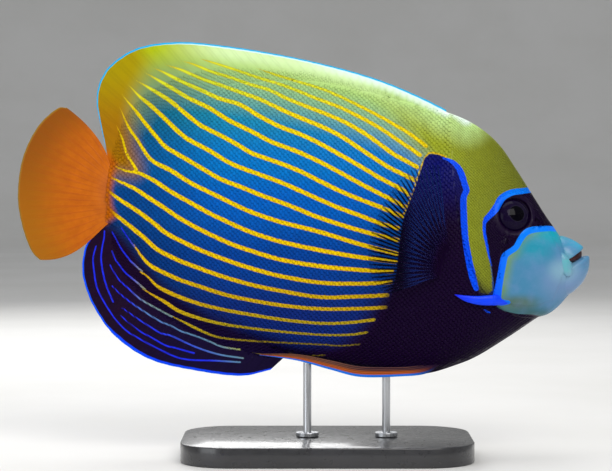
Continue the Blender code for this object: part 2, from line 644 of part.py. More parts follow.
def build_pelvic(home, side, name):
    shares, carries = ray_columns(PELVIC_RAYS)
    along = np.linspace(0, 1, 11)
    low, high = curve_through(PELVIC_LOW, along), curve_through(PELVIC_HIGH, along)
    flat = low[:, None] * (1 - shares[None, :, None]) + high[:, None] * shares[None, :, None]
    out = PELVIC_OUT + PELVIC_LEAN * shares[None] - PELVIC_DRAW * along[:, None]
    middle = np.stack([flat[..., 0], out, flat[..., 1]], axis=-1)
    half = PELVIC_HALF + PELVIC_FOOT * (1 - along[:, None]) ** 3
    half = half + PELVIC_RAY * carries[None] * (1 - 0.7 * along[:, None])
    fin = vane(name, home, mirrored(middle, side), half, "rust fin")
    return carve(fin, [grown_body(home, f"{name} room")], "DIFFERENCE")


def rod_top(surface, x):
    """How high a rod goes: a little way into the belly."""
    return float(np.interp(x, surface.belly[:, 0], surface.belly[:, 2])) + ROD_SUNK


def build_rod(home, surface, name, x):
    """A straight rod with a flat round foot, turned as one piece."""
    floor = BASE_HEIGHT + GAP
    profile = (
        (0, rod_top(surface, x)), (ROD_RADIUS, rod_top(surface, x)), (ROD_RADIUS, floor + ROD_FOOT_HEIGHT),
        (ROD_FOOT_RADIUS, floor + ROD_FOOT_HEIGHT), (ROD_FOOT_RADIUS, floor), (0, floor),
    )
    mesh = bpy.data.meshes.new(name)
    links = [(k, k + 1) for k in range(len(profile) - 1)]
    mesh.from_pydata([(r * MM, 0, z * MM) for r, z in profile], links, [])
    rod = bpy.data.objects.new(name, mesh)
    rod.location = (x * MM, 0, 0)
    home.objects.link(rod)
    turn = rod.modifiers.new("Screw", "SCREW")
    turn.steps = turn.render_steps = 20
    turn.use_merge_vertices = True
    turn.merge_threshold = 0.00005
    return finish(rod, "stand steel", 30)


def build_base(home):
    """A flat plate with round corners and an eased edge."""
    outline = bpy.data.curves.new("stand_base", "CURVE")
    outline.dimensions = "2D"
    outline.fill_mode = "BOTH"
    line = outline.splines.new("POLY")
    corners = []
    for quarter, (sx, sy) in enumerate(((1, 1), (-1, 1), (-1, -1), (1, -1))):
        middle = (BASE_AT + sx * (BASE_LENGTH / 2 - BASE_CORNER), sy * (BASE_BREADTH / 2 - BASE_CORNER))
        for step in range(8):
            turn = math.radians(90 * quarter + 90 * step / 7)
            reach = (BASE_CORNER * math.cos(turn), BASE_CORNER * math.sin(turn))
            corners.append((middle[0] + reach[0], middle[1] + reach[1]))
    line.points.add(len(corners) - 1)
    for point, (x, y) in zip(line.points, corners):
        point.co = (x * MM, y * MM, 0, 1)
    line.use_cyclic_u = True
    outline.extrude = BASE_HEIGHT / 2 * MM
    base = bpy.data.objects.new("stand_base", outline)
    base.location = (0, 0, BASE_HEIGHT / 2 * MM)
    home.objects.link(base)
    bpy.context.view_layer.update()
    flat = bpy.data.meshes.new_from_object(base.evaluated_get(bpy.context.evaluated_depsgraph_get()))
    shape = bmesh.new()
    shape.from_mesh(flat)
    bmesh.ops.remove_doubles(shape, verts=shape.verts, dist=0.00005)
    bmesh.ops.recalc_face_normals(shape, faces=shape.faces)
    shape.to_mesh(flat)
    shape.free()
    plate = bpy.data.objects.new("stand_plate", flat)
    plate.matrix_world = base.matrix_world
    home.objects.link(plate)
    bpy.data.objects.remove(base)
    plate.name = "stand_base"
    edge = plate.modifiers.new("Bevel", "BEVEL")
    edge.width = BASE_ROUND * MM
    edge.segments = 2
    edge.limit_method = "ANGLE"
    edge.angle_limit = math.radians(50)
    return finish(plate, "stand base", 30)


def main():
    clear_scene()
    home = new_collection("emperor angelfish")
    new_collection("cutters")
    surface = BodySurface()
    build_stalk(home)
    build_trunk(home, surface)
    build_head(home, surface)
    build_lips(home, surface)
    build_dorsal(home, surface)
    build_anal(home, surface)
    build_tail_fin(home)
    for side, word in ((1, "left"), (-1, "right")):
        finish(eyeball(f"eye_{word}", home, surface, side), "dark eye")
        build_pectoral(home, surface, side, f"pectoral_fin_{word}")
        build_pelvic(home, side, f"pelvic_fin_{word}")
    for word, x in ROD_PLACES.items():
        build_rod(home, surface, f"stand_rod_{word}", x)
    build_base(home)


main()
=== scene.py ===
"""The looks of the emperor angelfish: skin, scales, fins, eyes and stand, with light and camera.

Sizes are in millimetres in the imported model's own frame: x towards the nose, y to the fish's left
and z up. A list of pixels follows the photograph, which shows the fish square from its right side.
"""

import math
from collections import namedtuple

import bmesh
import bpy
import numpy as np
from mathutils import Matrix, Vector
from mathutils.bvhtree import BVHTree


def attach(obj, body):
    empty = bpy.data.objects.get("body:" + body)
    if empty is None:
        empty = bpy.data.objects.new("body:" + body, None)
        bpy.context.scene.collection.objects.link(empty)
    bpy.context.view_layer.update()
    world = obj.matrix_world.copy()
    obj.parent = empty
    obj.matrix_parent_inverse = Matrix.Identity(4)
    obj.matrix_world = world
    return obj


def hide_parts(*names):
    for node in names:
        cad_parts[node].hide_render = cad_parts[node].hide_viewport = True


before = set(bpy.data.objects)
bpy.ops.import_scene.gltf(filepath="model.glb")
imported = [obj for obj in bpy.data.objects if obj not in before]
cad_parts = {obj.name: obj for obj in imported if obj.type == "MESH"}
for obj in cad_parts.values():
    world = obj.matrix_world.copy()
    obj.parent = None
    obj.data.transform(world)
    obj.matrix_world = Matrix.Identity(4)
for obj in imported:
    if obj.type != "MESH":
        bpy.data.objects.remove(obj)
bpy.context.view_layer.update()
rng = np.random.default_rng(7)

MM = 0.001
FAR = 200.0
SIDES = (("left", 1), ("right", -1))
MIRRORED, FLAT = np.array([1, -1, 1]), np.array([1, 0, 1])
CURVE_STEPS = 16

# The photograph: how wide a pixel is on the fish, and the pixel where x and z are nought.
PIXEL, PIXEL_X, PIXEL_Z = 0.607, 304.0, 457.0
PHOTO_WIDTH, PHOTO_MIDDLE = 612, (306.0, 235.5)
CAMERA_AWAY, CAMERA_RISE, SENSOR, CAMERA_SEES = 1300.0, 2.0, 36, (0.05, 20)

# Cross-sections of the body, as in the solid part.
Section = namedtuple("Section", "top bottom bend half_width level crest keel back_power belly_power")
SECTIONS = {
    "tail root": Section((-118.4, 175.4), (-118.4, 142.6), (-118.4, 159), 4.6, 0.50, 1.5, 1.5, 0.60, 0.60),
    "tail stalk": Section((-109.5, 182.5), (-110.5, 138), (-111, 160), 6.0, 0.50, 1.5, 1.5, 0.70, 0.70),
    "rear": Section((-93.5, 201), (-96, 118.5), (-96, 159), 9.5, 0.50, 1.5, 1.5, 0.75, 0.75),
    "loin": Section((-69, 216.5), (-69, 96), (-70.5, 156), 15, 0.50, 1.6, 1.6, 0.75, 0.75),
    "flank": Section((-39, 226.5), (-39, 76.5), (-40, 152), 20.5, 0.50, 1.6, 1.7, 0.75, 0.72),
    "middle": Section((-2.5, 228), (-2.5, 62.5), (-3.5, 146), 24, 0.50, 1.6, 2.6, 0.75, 0.60),
    "chest": Section((34, 222), (34, 55.2), (31.5, 139), 26, 0.50, 1.5, 3.4, 0.74, 0.54),
    "shoulder": Section((63, 214.5), (67.5, 51.6), (59.5, 132), 26.8, 0.50, 1.4, 3.4, 0.72, 0.52),
    "breast": Section((77.5, 210.5), (96, 58.3), (74, 110.5), 27, 0.50, 1.3, 2.6, 0.70, 0.52),
    "throat": Section((85, 209), (122, 72.2), (80.7, 88), 27, 0.50, 1.2, 1.8, 0.68, 0.54),
    "gill": Section((90, 207.4), (142, 85), (86.8, 83.2), 27, 0.50, 1.1, 1.2, 0.66, 0.56),
    "gill cover": Section((98.3, 204), (144, 85.5), (97, 89.2), 27, 0.50, 1.0, 1.0, 0.62, 0.56),
    "cheek": Section((109.3, 197.3), (146.3, 86.2), (111.7, 92.3), 26, 0.52, 1.0, 1.0, 0.58, 0.56),
    "behind eye": Section((119, 188.2), (148.7, 87.5), (122, 101.4), 24, 0.54, 1.0, 1.0, 0.55, 0.55),
    "eye": Section((128.7, 174.2), (152, 89.9), (133.5, 110.5), 21.5, 0.54, 1.0, 1.0, 0.53, 0.54),
    "before eye": Section((138.4, 159), (155.8, 93.4), (143.3, 118.4), 18.5, 0.53, 1.0, 1.0, 0.52, 0.53),
    "snout": Section((146.9, 145.7), (159.8, 98), (151.8, 120.8), 15.5, 0.52, 1.0, 1.0, 0.50, 0.52),
    "lip root": Section((152.8, 137.4), (163, 101.4), (157.2, 120.2), 12.5, 0.50, 1.0, 1.0, 0.50, 0.50),
    "muzzle": Section((156.6, 131.5), (165.6, 104.6), (161, 119.5), 9.5, 0.50, 1.0, 1.0, 0.50, 0.50),
    "mouth": Section((159, 126), (165, 111), (162.5, 119), 5.5, 0.50, 1.0, 1.0, 0.50, 0.50),
}
GILL = list(SECTIONS).index("gill")
TRUNK_STEPS, HEAD_STEPS, GIRTH_STEPS, EDGE_POINTS = 9, 18, 110, 300
BRIDGE = np.array([0.6, 0.0, -0.6])

# The face, with its heights in relief.
EYE_AT, EYE_RADIUS, EYE_HALF_DEPTH, EYE_PROUD, EYE_SWELL = (126.3, 147.5), 10.4, 6.5, 3.3, 1.1
ORBIT_IN, ORBIT_OUT, ORBIT_RISE, ORBIT_BREADTH, ORBIT_SINK = 8.9, 10.3, 0.8, 2.2, 1.7
ORBIT_ROLL, ORBIT_CLEAR, BACK_CLEAR = 0.8, (10, 16), (0.02, 0.12)
EYE_SPAN, EYE_SEGMENTS, EYE_RINGS = ORBIT_OUT + 5.0, 72, 48
NOSTRILS, NOSTRIL_RADIUS, NOSTRIL_DEPTH = ((139.3, 144.2), (141.6, 140.2)), 1.0, 1.1
NOSTRIL_RIM, NOSTRIL_RIM_AT, NOSTRIL_RIM_BREADTH = 0.3, 1.7, 0.5
GILL_STEP, GILL_FADE, GILL_TOP, GILL_FULL, GILL_KEEL, GILL_EDGE = 1.0, 0.9, 0.16, 0.30, 0.05, 0.004
CHEEK_STEP, CHEEK_RUN, CHEEK_EDGE = 0.7, 13.0, (-0.3, 0.5)
CHEEK_PLATE = (
    (140, 152), (123.8, 142.6), (119, 131.7), (117.2, 116.5), (115.9, 103), (118, 96.5),
    (126, 93.2), (138.4, 92.5), (150, 96), (158, 118),
)
SPINE = ((121.5, 97.2, 3.3), (111, 96.7, 3.1), (103.5, 96.7, 2.6), (96, 97.9, 1.8), (89.8, 100.1, 0.2))
SPINE_FLAT, SPINE_SUNK, SPINE_FREE, SPINE_LIFT, SPINE_RINGS, SPINE_AROUND = 0.5, 2.4, 0.32, 0.15, 48, 28
UPPER_LIP = (
    (150, 128), (153.5, 133.4), (156.6, 134.2), (161.9, 132.5), (166.6, 129.8), (169.4, 127.3), (167.4, 125),
    (163.6, 122), (158, 119.6), (151, 119),
)
LOWER_LIP = (
    (151, 117), (158, 118), (165.2, 120.8), (170, 122), (172.9, 121.8), (173.3, 118.4), (172.5, 112.9),
    (169.6, 106.7), (165.8, 102.4), (161.2, 98.9), (155.5, 97.6), (150.5, 101), (149, 113),
)
UPPER_CORNER, LOWER_CORNER, LIP_WIDTH = (158.5, 120.4), (157, 112), 12.2
MOUTH_INSIDE = (
    (152, 121), (158.5, 121.6), (163.6, 124), (167.4, 125.8), (168.6, 124), (168, 121), (165, 119),
    (158, 116), (152, 116),
)
MOUTH_CORNER, MOUTH_WIDTH, TUBE_TURN = (158, 119.5), 11.2, 1.5
JAW_PLATE, PLATE_SIZE, PLATE_LEAN, PLATE_PROUD = (156.4, 117.6), (4.4, 2.6, 7.4), -2.4, 0.9

# Fins, as in the solid part.
DORSAL_EDGE = (
    (86, 210.8), (70.5, 218.5), (49, 227.5), (25, 235), (-8.5, 242.8), (-45, 248.9), (-75, 251.6),
    (-99.5, 248.3), (-116, 238.6), (-123.4, 228), (-125.6, 216.7), (-124, 205), (-119.8, 186),
)
ANAL_EDGE = (
    (-20.5, 52.6), (-38.8, 49), (-66, 52.2), (-93.5, 59), (-114.7, 73), (-127.5, 90.4),
    (-133.4, 105), (-134.8, 114.5), (-134, 123), (-132.2, 128.9), (-129, 133.2), (-124.7, 137.4),
    (-119.8, 141.6),
)
TAIL_RAYS, TAIL_BOWS = 17, ((15.0, 0.8), (31.0, 1.5))
TAIL_EDGE = (
    (-143.8, 212), (-149.9, 211.2), (-161.5, 200.3), (-170.6, 181.5), (-173.6, 159),
    (-171, 140.5), (-165.7, 125.6), (-160.5, 119.6),
)
# The crest fins: back or belly, the span of the root, edge, soft rays and spines, ripple, and then
# the edging: outer and inner colour, width, how dark the rays are, and where the edging is slim.
CREST_FINS = (
    ("dorsal", 0, (-118.5, 86.5), DORSAL_EDGE, (20, 14), (13.0, -40, 80),
     # The dorsal fin's near-white inner edging colour is partly its pale margin and partly painted highlight.
     ((0, 176, 236), (222, 255, 250), 2.4, 0.12, (-112, -40, 0.4, 1.0))),
    ("anal", 1, (-118.5, -8.0), ANAL_EDGE, (19, 3), (12.0, 30, 100),
     ((0, 84, 255), (6, 60, 250), 1.9, 0.25, (-121, -112, 0.55, 1.0))),
)
PECTORAL_RAYS, PECTORAL_FLARE, PECTORAL_SUNK, PECTORAL_FREE = 19, 20.0, 3.0, 8
PECTORAL_LIFT, PECTORAL_THIN, PECTORAL_RAY, PECTORAL_TAPER, RAY_ENDS = 1.2, 0.12, 0.2, 8, 0.7
THREAD_FORK, THREAD_SPAN, THREAD_BREADTH, THREAD_NARROWS = 0.25, (0.3, 0.6), 0.2, 0.07
PECTORAL_ROOT = ((86.4, 125.4), (84.4, 112.4))
PECTORAL_EDGE = (
    (79.5, 177.5), (66, 176.4), (53.4, 165.1), (43.7, 148.7), (38.2, 131.7),
    (38.4, 116.5), (42.5, 107), (50.5, 101),
)
PELVIC_RAYS, PELVIC_OUT, PELVIC_ROWS, PELVIC_RAY_BREADTH = 6, 6.3, 90, 0.2
PELVIC_SPREAD, PELVIC_CLOSE, PELVIC_THIN, PELVIC_FOOT, PELVIC_RAY = 1.5, 1.2, 0.3, 0.3, 0.3
PELVIC_LOW = ((83, 57), (73.5, 51), (58, 49.3), (34, 49), (15.8, 53.4), (-4, 58.8), (-27, 62.2))
PELVIC_HIGH = ((81, 59), (71, 56.5), (58, 55.2), (34, 55.6), (15.8, 59.2), (-4, 62.8), (-26, 63.2))
MEMBRANE, RAY_RISE, FIN_FOOT, FIN_TAPER, FIN_SUNK, FIN_END = 0.2, 0.3, 1.55, 5.0, 1.0, 0.997
MEMBRANE_THINS, RAY_THINS, RAY_STARTS, STIFF_THINS = 0.35, 0.75, 0.3, 0.35
RAY_COLUMNS, PECTORAL_COLUMNS, FIN_ROWS = 12, 20, 48
RAY_FORKS, RAY_BREADTH, SPINE_BREADTH = ((0.13, (0.3, 0.7)), (0.06, (0.62, 1.0))), 0.075, 0.12
COAT_REACH, EDGE_SHY, CREST_NOTCH, TAIL_NOTCH, TAIL_FOOT_TAPER = 0.36, 0.04, 0.15, 0.1, 8.0
CREST_SWAY, TAIL_SWAY, TAIL_STILL, TAIL_RIPPLE = 0.5, 0.7, 166, 16.0

# The stand: how its solids are cleaned, and how far their edges are eased.
MERGE, LEVEL_ANGLE, SHARP_ANGLE, BEVEL_ANGLE = 0.00001, 0.5, 40, 50
BASE_BEVEL, ROD_BEVEL, BEVEL_STEPS = 0, 0.3, 3

# The room and its lamps: place, size, power and colour of each.
FLOOR_FLAT, FLOOR_CURVE, FLOOR_RISE, FLOOR_SIDES = 3200.0, 1400.0, 2400.0, 96
LIGHTS = (
    ("key", (500, -1100, 1100), (900, 700), 13, (1.0, 0.98, 0.95)),
    ("fill", (-1100, -900, 500), (1000, 900), 6, (0.93, 0.97, 1.0)),
    ("top", (-100, 200, 1300), (1100, 900), 7, (1, 1, 1)),
    ("back", (-300, 1100, 700), (900, 500), 6, (1, 1, 1)),
)
LIGHT_AIM, WORLD_COLOUR, WORLD_STRENGTH = (0, 0, 145), (0.85, 0.87, 0.9, 1), 0.45

# Scales. The rows start at the tail root, and climb across the tilted axis of the body.
BODY_TILT = 7.0
AXIS_FROM, COAT_LENGTH, COAT_CLIMB = (-118.0, 159.0), 300, np.arange(-115, 115, 0.7)
SIZE_SPREAD, LIFT_SPREAD, PATTERN_SPREAD, SCALE_ON_MAP = 0.05, 0.12, 0.05, 0.003
EYE_BARE, MUZZLE_BARE = ORBIT_OUT + 2.5, 1.0
Coat = namedtuple("Coat", "pitch row length width lift")
TRUNK_COAT = Coat(1.6, 3.0, 4.3, 3.3, 0.16)
HEAD_COAT = Coat(1.0, 1.8, 2.6, 2.0, 0.1)
FIN_COAT = Coat(1.2, 2.1, 3.1, 2.4, 0.1)
SCALE_ROWS = (
    (-0.5, (0.0,), (-0.6,)),
    (-0.2, (-0.42, 0.42), (-0.45, -0.45)),
    (0.1, (-0.5, -0.25, 0.0, 0.25, 0.5), (0.1, 0.5, 0.6, 0.5, 0.1)),
    (0.3, (-0.44, -0.22, 0.0, 0.22, 0.44), (0.45, 0.8, 0.9, 0.8, 0.45)),
    (0.47, (-0.24, 0.0, 0.24), (0.85, 1.0, 0.85)),
)
# The faces of a scale over those rows, with its underside as the last one.
SCALE_FACES = (
    (0, 1, 2), (1, 3, 4), (1, 4, 5), (1, 5, 2), (2, 5, 6), (2, 6, 7), (3, 8, 9, 4), (4, 9, 10, 5),
    (5, 10, 11, 6), (6, 11, 12, 7), (8, 13, 9), (9, 13, 14, 10), (10, 14, 15, 11), (11, 15, 12),
    (2, 7, 12, 15, 14, 13, 8, 3, 1, 0),
)

# Pattern, in pixels of the photograph. Yellow stripes run from the front to the rear.
STRIPES = (
    ((426, 146), (410.5, 134.5), (400, 128), (380, 116.75), (360, 106.5), (340, 96.75), (320, 88.5),
     (279.5, 76.25), (245, 64.5)),
    ((420, 155.25), (410, 148.25), (400.5, 142), (380, 128.25), (360, 117.25), (340, 107.5), (320, 100),
     (300, 92), (279.5, 84.25), (259.5, 78.25), (230, 68.25), (200, 59), (185, 56)),
    ((417, 167), (399.5, 157.5), (390, 151.75), (370.5, 137.5), (350, 125), (329.5, 115.5), (300, 104),
     (284.5, 97.5), (269.5, 90.25), (250, 84.5), (230, 77.5), (210.5, 71.5), (190.5, 63.5), (170, 59.25)),
    ((414.5, 180.25), (400, 172.75), (390, 168), (380.5, 162.25), (360, 148.75), (340, 135.75), (320, 126),
     (300, 117.75), (280, 109), (260, 99.5), (240, 92.25), (220.5, 85.25), (200.5, 78.5), (180.5, 69.75),
     (155.5, 62.25)),
    ((408.5, 194.5), (400, 188.5), (379.5, 177.75), (360.5, 166.5), (340, 154.75), (319.5, 143.5),
     (300, 134.25), (279.5, 126.5), (259, 116), (240, 104.75), (220, 98.75), (200.5, 90), (180, 80.75),
     (160, 70.75), (143, 65)),
    ((404, 206.25), (380, 193.75), (360, 183.5), (340, 172.5), (320, 162), (300, 152.75), (279.5, 145),
     (269.5, 141), (249, 130.25), (229, 120.5), (209.5, 108.25), (189.5, 98.5), (169.5, 86.75), (150, 75.5),
     (138, 69.25)),
    ((402, 216.5), (380, 207), (359.5, 199.25), (339.5, 190.75), (319.5, 181), (300, 171.25), (280, 163.25),
     (260, 156.25), (250, 152.25), (230, 140.5), (210, 130.25), (200.5, 125.25), (186, 114), (171, 101.5),
     (160.5, 94.75), (145.5, 85.75), (130.5, 77.25)),
    ((398, 228.25), (380, 223.25), (360, 215.5), (340, 208.25), (320, 199.75), (300, 190.75),
     (280.5, 182.25), (250.5, 171.25), (230, 163), (210, 151), (190.5, 140.75), (180.5, 133.5),
     (165, 118.75), (150.5, 105.25), (140.5, 97.25), (131, 87.25), (124.5, 80.5)),
    ((398, 240.25), (360, 230.5), (319.5, 217.75), (290.5, 206), (260.5, 195), (241, 187), (220.5, 179),
     (200.5, 167.5), (180.5, 155.75), (165.5, 146.75), (155.5, 135.5), (145.5, 123.5), (135.5, 110.5),
     (125, 98), (119, 89)),
    ((397, 253.75), (360, 244.25), (320, 232), (280, 221.75), (250.5, 211.75), (231, 202.75),
     (210.5, 192.75), (190, 182.5), (171, 170.5), (152.5, 161), (144, 150.5), (137, 139), (129, 127.5),
     (121.5, 110.5), (116.5, 100.75)),
    ((136.5, 169.75), (131, 160.5), (126.5, 152.75), (122.5, 138.5), (117, 125.75), (112.5, 111.75)),
    ((396, 261.75), (360, 257.25), (320, 250.25), (280, 241.5), (250.5, 232), (230.5, 223.25),
     (210.5, 213.75), (190.5, 202.75), (171, 191.75), (155.5, 181.5), (144.5, 175.5), (138, 172.75),
     (125, 170.5), (115, 166)),
    ((392, 271.75), (360, 270), (320, 266.25), (280, 259.5), (250, 250.5), (230, 243.5), (200, 229.5),
     (180.5, 218.75), (160.5, 205.25), (150, 198.75), (136, 189.25), (120, 181.5), (107, 175.5)),
    ((391, 282.25), (360, 283.75), (320, 282.75), (280, 276), (250, 268), (230, 261.5), (200, 250),
     (181, 241), (166, 233), (150, 220.25), (135, 209.25), (119.5, 199.5), (104, 187.25)),
    ((388, 295.25), (360, 296.5), (320, 297.25), (280, 290.75), (250, 284.5), (220, 275.75),
     (200.5, 268.75), (180.5, 261.25), (165.5, 254), (155.5, 248.25), (145, 238.5), (135, 230.25),
     (120, 218.25), (106, 207.25)),
    ((386, 307.5), (360, 308.75), (320, 309), (280, 305.25), (240, 298.25), (220, 293.25), (200, 286.75),
     (180, 280), (160, 271), (150, 265.25), (142, 257), (134, 245)),
    ((374, 320), (350, 322.75), (320, 323.5), (280, 319.5), (240, 313), (220, 309), (200, 304.25),
     (180.5, 297.5), (165, 290.75), (155, 284.5), (147.5, 276.5), (140.5, 272)),
    ((367, 332.75), (350, 335), (320, 335), (280, 331.75), (240, 327), (210, 321.5), (180.5, 312),
     (165.5, 302.5), (149.5, 293.25), (142.5, 288.5)),
    ((360, 344.5), (340, 346), (320, 344.75), (280, 342.75), (250, 341), (230, 339.25), (215, 336.75),
     (200, 330.5), (180, 320.5), (165, 313)),
    ((325, 355.5), (300, 356.5), (270, 355.25), (250, 352.75), (235, 350.25)),
)
LINES = (
    ((135, 247), (128, 238), (121, 227)),
    ((142, 271.5), (132, 262.5), (125, 254), (120, 246.5), (116, 239), (112, 231.5)),
    ((145, 289.5), (135, 281), (125, 272.5), (120, 266), (115, 259), (112, 251)),
    ((172, 317), (160, 310.5), (140, 299), (130, 290), (120, 281), (115, 274), (110, 265)),
    ((240, 350), (222, 347), (210, 342), (195, 336), (180, 331), (170, 325.5), (160, 321.5), (140, 309),
     (130, 302), (120, 294), (112, 286)),
    ((243, 358.5), (220, 355), (200, 349), (185, 342.5), (170, 335.5), (160, 333), (140, 320.5), (122, 308)),
    ((194, 353.5), (185, 351), (175, 348), (165, 345.5), (150, 337), (140, 331.5), (130, 324), (120, 315.5)),
    ((113, 302), (109, 293), (105, 282), (102, 268), (101, 258), (102, 248), (104, 238), (104.5, 231)),
    ((240, 362.5), (215, 361), (195, 360.5), (185, 359.5), (175, 357), (155, 347.5), (135, 336.5), (125, 330),
     (115, 319.5), (108, 309), (100, 295), (96, 285), (94, 272), (93, 258), (96, 246)),
)
PATCH_LINE = (
    (444, 157), (436, 154), (428, 153), (424, 157), (420, 165), (415, 179), (411, 192), (406, 204),
    (401, 215),
)
# Blue bands of the head, with their half width in pixels at each point.
BANDS = (
    (((529, 190), (518, 191), (510, 192), (503, 195), (498, 199), (494, 206), (489, 212), (483, 218),
      (481, 222)),
     (2.8, 2.9, 3.0, 3.3, 3.6, 3.6, 3.2, 2.6, 1.6)),
    (((481, 221), (481, 231), (483, 242), (485, 253), (488, 264)), (1.6, 1.5, 1.3, 0.9, 0.3)),
    (((554, 229), (548, 228), (540, 228), (529, 229), (522, 232), (517, 238), (512, 246), (506, 250),
      (501, 254), (499, 262), (497, 272), (495, 284), (493, 296)),
     (2.3, 2.5, 2.8, 3.1, 3.2, 3.0, 2.9, 2.8, 3.2, 3.4, 3.3, 3.6, 4.5)),
    (((441, 158), (449, 161), (455, 166), (459, 173), (462, 183), (464, 190), (461, 197), (461, 215),
      (462, 235), (465, 255), (469, 273), (473, 286)),
     (0.7, 1.8, 2.6, 3.1, 3.1, 2.9, 3.0, 3.2, 3.1, 3.2, 3.4, 2.6)),
    (((490, 298), (498, 300), (505, 300)), (4.0, 3.2, 2.0)),
    (((481, 307), (484, 309), (488, 311)), (0.5, 1.0, 0.4)),
)
MASK = (
    (545, 182), (529, 191), (510, 193), (503, 196), (498, 200), (494, 207), (489, 213), (483, 219),
    (481, 230), (484, 250), (488, 266), (490, 280), (491, 292), (494, 293), (496, 272), (499, 257),
    (504, 251), (512, 247), (517, 238), (522, 232), (529, 229), (541, 228), (556, 229), (590, 215),
)
OLIVE = (
    (461, 150), (462, 197), (462, 235), (465, 255), (469, 273), (473, 286), (477, 291), (484, 292),
    (489, 288), (488, 272), (485, 254), (482, 236), (481, 221), (500, 180), (560, 120), (470, 90),
)
MUZZLE = (
    (640, 215), (556, 228), (541, 227), (529, 229), (522, 232), (517, 238), (512, 246), (506, 250),
    (501, 254), (499, 262), (497, 272), (495, 284), (493, 296), (494, 305), (502, 309), (515, 312),
    (530, 313), (542, 316), (560, 330), (640, 320),
)
DARK = (
    (423, 158), (428, 154), (438, 155), (446, 159), (455, 165), (461, 173), (464, 185), (462, 200),
    (462, 235), (465, 255), (469, 273), (473, 286), (478, 294), (490, 298), (494, 304), (502, 308),
    (515, 311), (530, 312), (542, 316), (580, 330), (560, 420), (320, 420), (322, 362), (345, 356),
    (362, 345), (372, 333), (382, 320), (387, 305), (391, 288), (395, 268), (397, 247), (400, 223),
    (407, 203), (413, 187), (419, 170),
)
NAPE_AT, NAPE_WAY, NAPE_FROM, NAPE_TO = (392, 130), (0.832, -0.555), -8.0, 26.0
PURPLE_EDGE = (
    (90, 205), (106, 221), (117, 229), (128, 240), (142, 259), (160, 280), (180, 296), (210, 314),
    (250, 331), (290, 343), (330, 350), (365, 350), (400, 340), (420, 440), (60, 440), (60, 215),
)
TAIL_ROOT = (
    (60, 140), (108, 152), (116, 164), (113, 176), (111, 190), (111, 205), (115, 216), (106, 222),
    (60, 222),
)
OCHRE = (
    (84, 60), (112, 46), (134, 48), (140, 62), (136, 74), (130, 86), (126, 98), (124, 112), (124, 130),
    (127, 148), (131, 160), (133, 168), (120, 168), (106, 162), (96, 145), (84, 110),
)
# Patches with a soft edge, and the depths between which each fades in.
SOFT_PATCHES = ((OCHRE, (-13, 4)), (OLIVE, (-0.2, 0.2)), (PURPLE_EDGE, (-6, 6)), (TAIL_ROOT, (-3.5, 1.5)))
NAPE_TOP, TOP_FROM = ((446, 104), (450, 106.5), (454, 109), (458, 112), (462, 115), (466, 118)), 226.0
GREEN_OFF, GREEN_SHARE = (4, 10, 17, 25, 33, 42), (1.0, 0.85, 0.62, 0.42, 0.2, 0.0)
WIDE_OFF, WIDE_BY_OFF = (8, 11, 18, 27, 36), (0.45, 0.7, 0.95, 1.2, 1.35)
WIDE_HEIGHT, WIDE_BY_HEIGHT = (68, 76, 85, 100, 120), (0.45, 0.72, 1.0, 1.22, 1.35)
TAIL_STRIPES, TAIL_TAPER = range(11, 15), 0.3
STRIPE_TAPER, TAPER_RUN, LINE_HALF, LINE_TAPER, PATCH_LINE_HALF = 0.85, 22.0, 0.5, 0.12, 0.55
OUTSIDE, CRISP = -9.0, (-0.22, 0.22)

# Colours by height up the fish, and the soft round patches of the muzzle: middle, reach and colour.
GROUND_HEIGHTS = (85, 120, 157, 178, 218)
GROUND_BLUES = ((12, 42, 124), (0, 66, 156), (0, 97, 194), (0, 118, 200), (28, 140, 166))
YELLOW_HEIGHTS = (66, 80, 96, 118, 205, 228)
YELLOWS = ((130, 110, 24), (186, 160, 20), (216, 176, 8), (248, 206, 0), (240, 214, 0), (214, 222, 44))
LINE_SLOPE, LINE_LEVELS, LINE_BLUE = 0.571, (24, 36, 44), (26, 44, 236)
MUZZLE_BLOBS = (
    ((156, 107), (24, 20), (110, 144, 184)), ((156, 114), (14, 11), (128, 170, 192)),
    ((138, 127), (17, 12), (36, 142, 168)), ((151, 136), (20, 10), (12, 158, 180)),
    ((167, 131), (11, 7), (28, 164, 200)), ((128, 95), (20, 7), (84, 112, 100)),
)


def from_photo(points):
    """Millimetres in the model's side view for pixels of the photograph."""
    pixels = np.asarray(points, float)
    return np.stack([(pixels[:, 0] - PIXEL_X) * PIXEL, (PIXEL_Z - pixels[:, 1]) * PIXEL], axis=-1)


def srgb(red, green, blue):
    """A colour as the eye names it, nought to 255, turned into the light that a shader wants."""
    share = np.array([red, green, blue]) / 255
    light = np.where(share <= 0.04045, share / 12.92, ((share + 0.055) / 1.055) ** 2.4)
    return (*[float(v) for v in light], 1.0)


def ramp(value, low, high):
    share = np.clip((value - low) / (high - low), 0, 1)
    return share * share * (3 - 2 * share)


def travelled(x, z):
    """How far each point of a line lies along it."""
    return np.concatenate([[0], np.cumsum(np.hypot(np.diff(x), np.diff(z)))])


def curve_through(points, shares):
    """Points at these shares of the length of one smooth curve through the named points."""
    knots = np.asarray(points, float)
    ends = np.vstack([2 * knots[0] - knots[1], knots, 2 * knots[-1] - knots[-2]])
    t = np.linspace(0, 1, CURVE_STEPS, endpoint=False)[:, None]
    runs = [
        0.5 * (2 * b + (c - a) * t + (2 * a - 5 * b + 4 * c - d) * t**2 + (3 * b - a - 3 * c + d) * t**3)
        for a, b, c, d in zip(ends, ends[1:], ends[2:], ends[3:])
    ]
    line = np.vstack([*runs, knots[-1:]])
    along = travelled(line[:, 0], line[:, 1])
    wanted = np.asarray(shares, float) * along[-1]
    return np.stack([np.interp(wanted, along, column) for column in line.T], axis=-1)


# Fields of the pattern: how far inside a line or a patch each point lies, in millimetres.


def off_run(here, start, end):
    """How far points lie from a straight run, and at what share of its length."""
    run = end - start
    share = np.clip((here - start) @ run / (run @ run), 0, 1)
    return np.hypot(*(here - start - share[:, None] * run).T), share


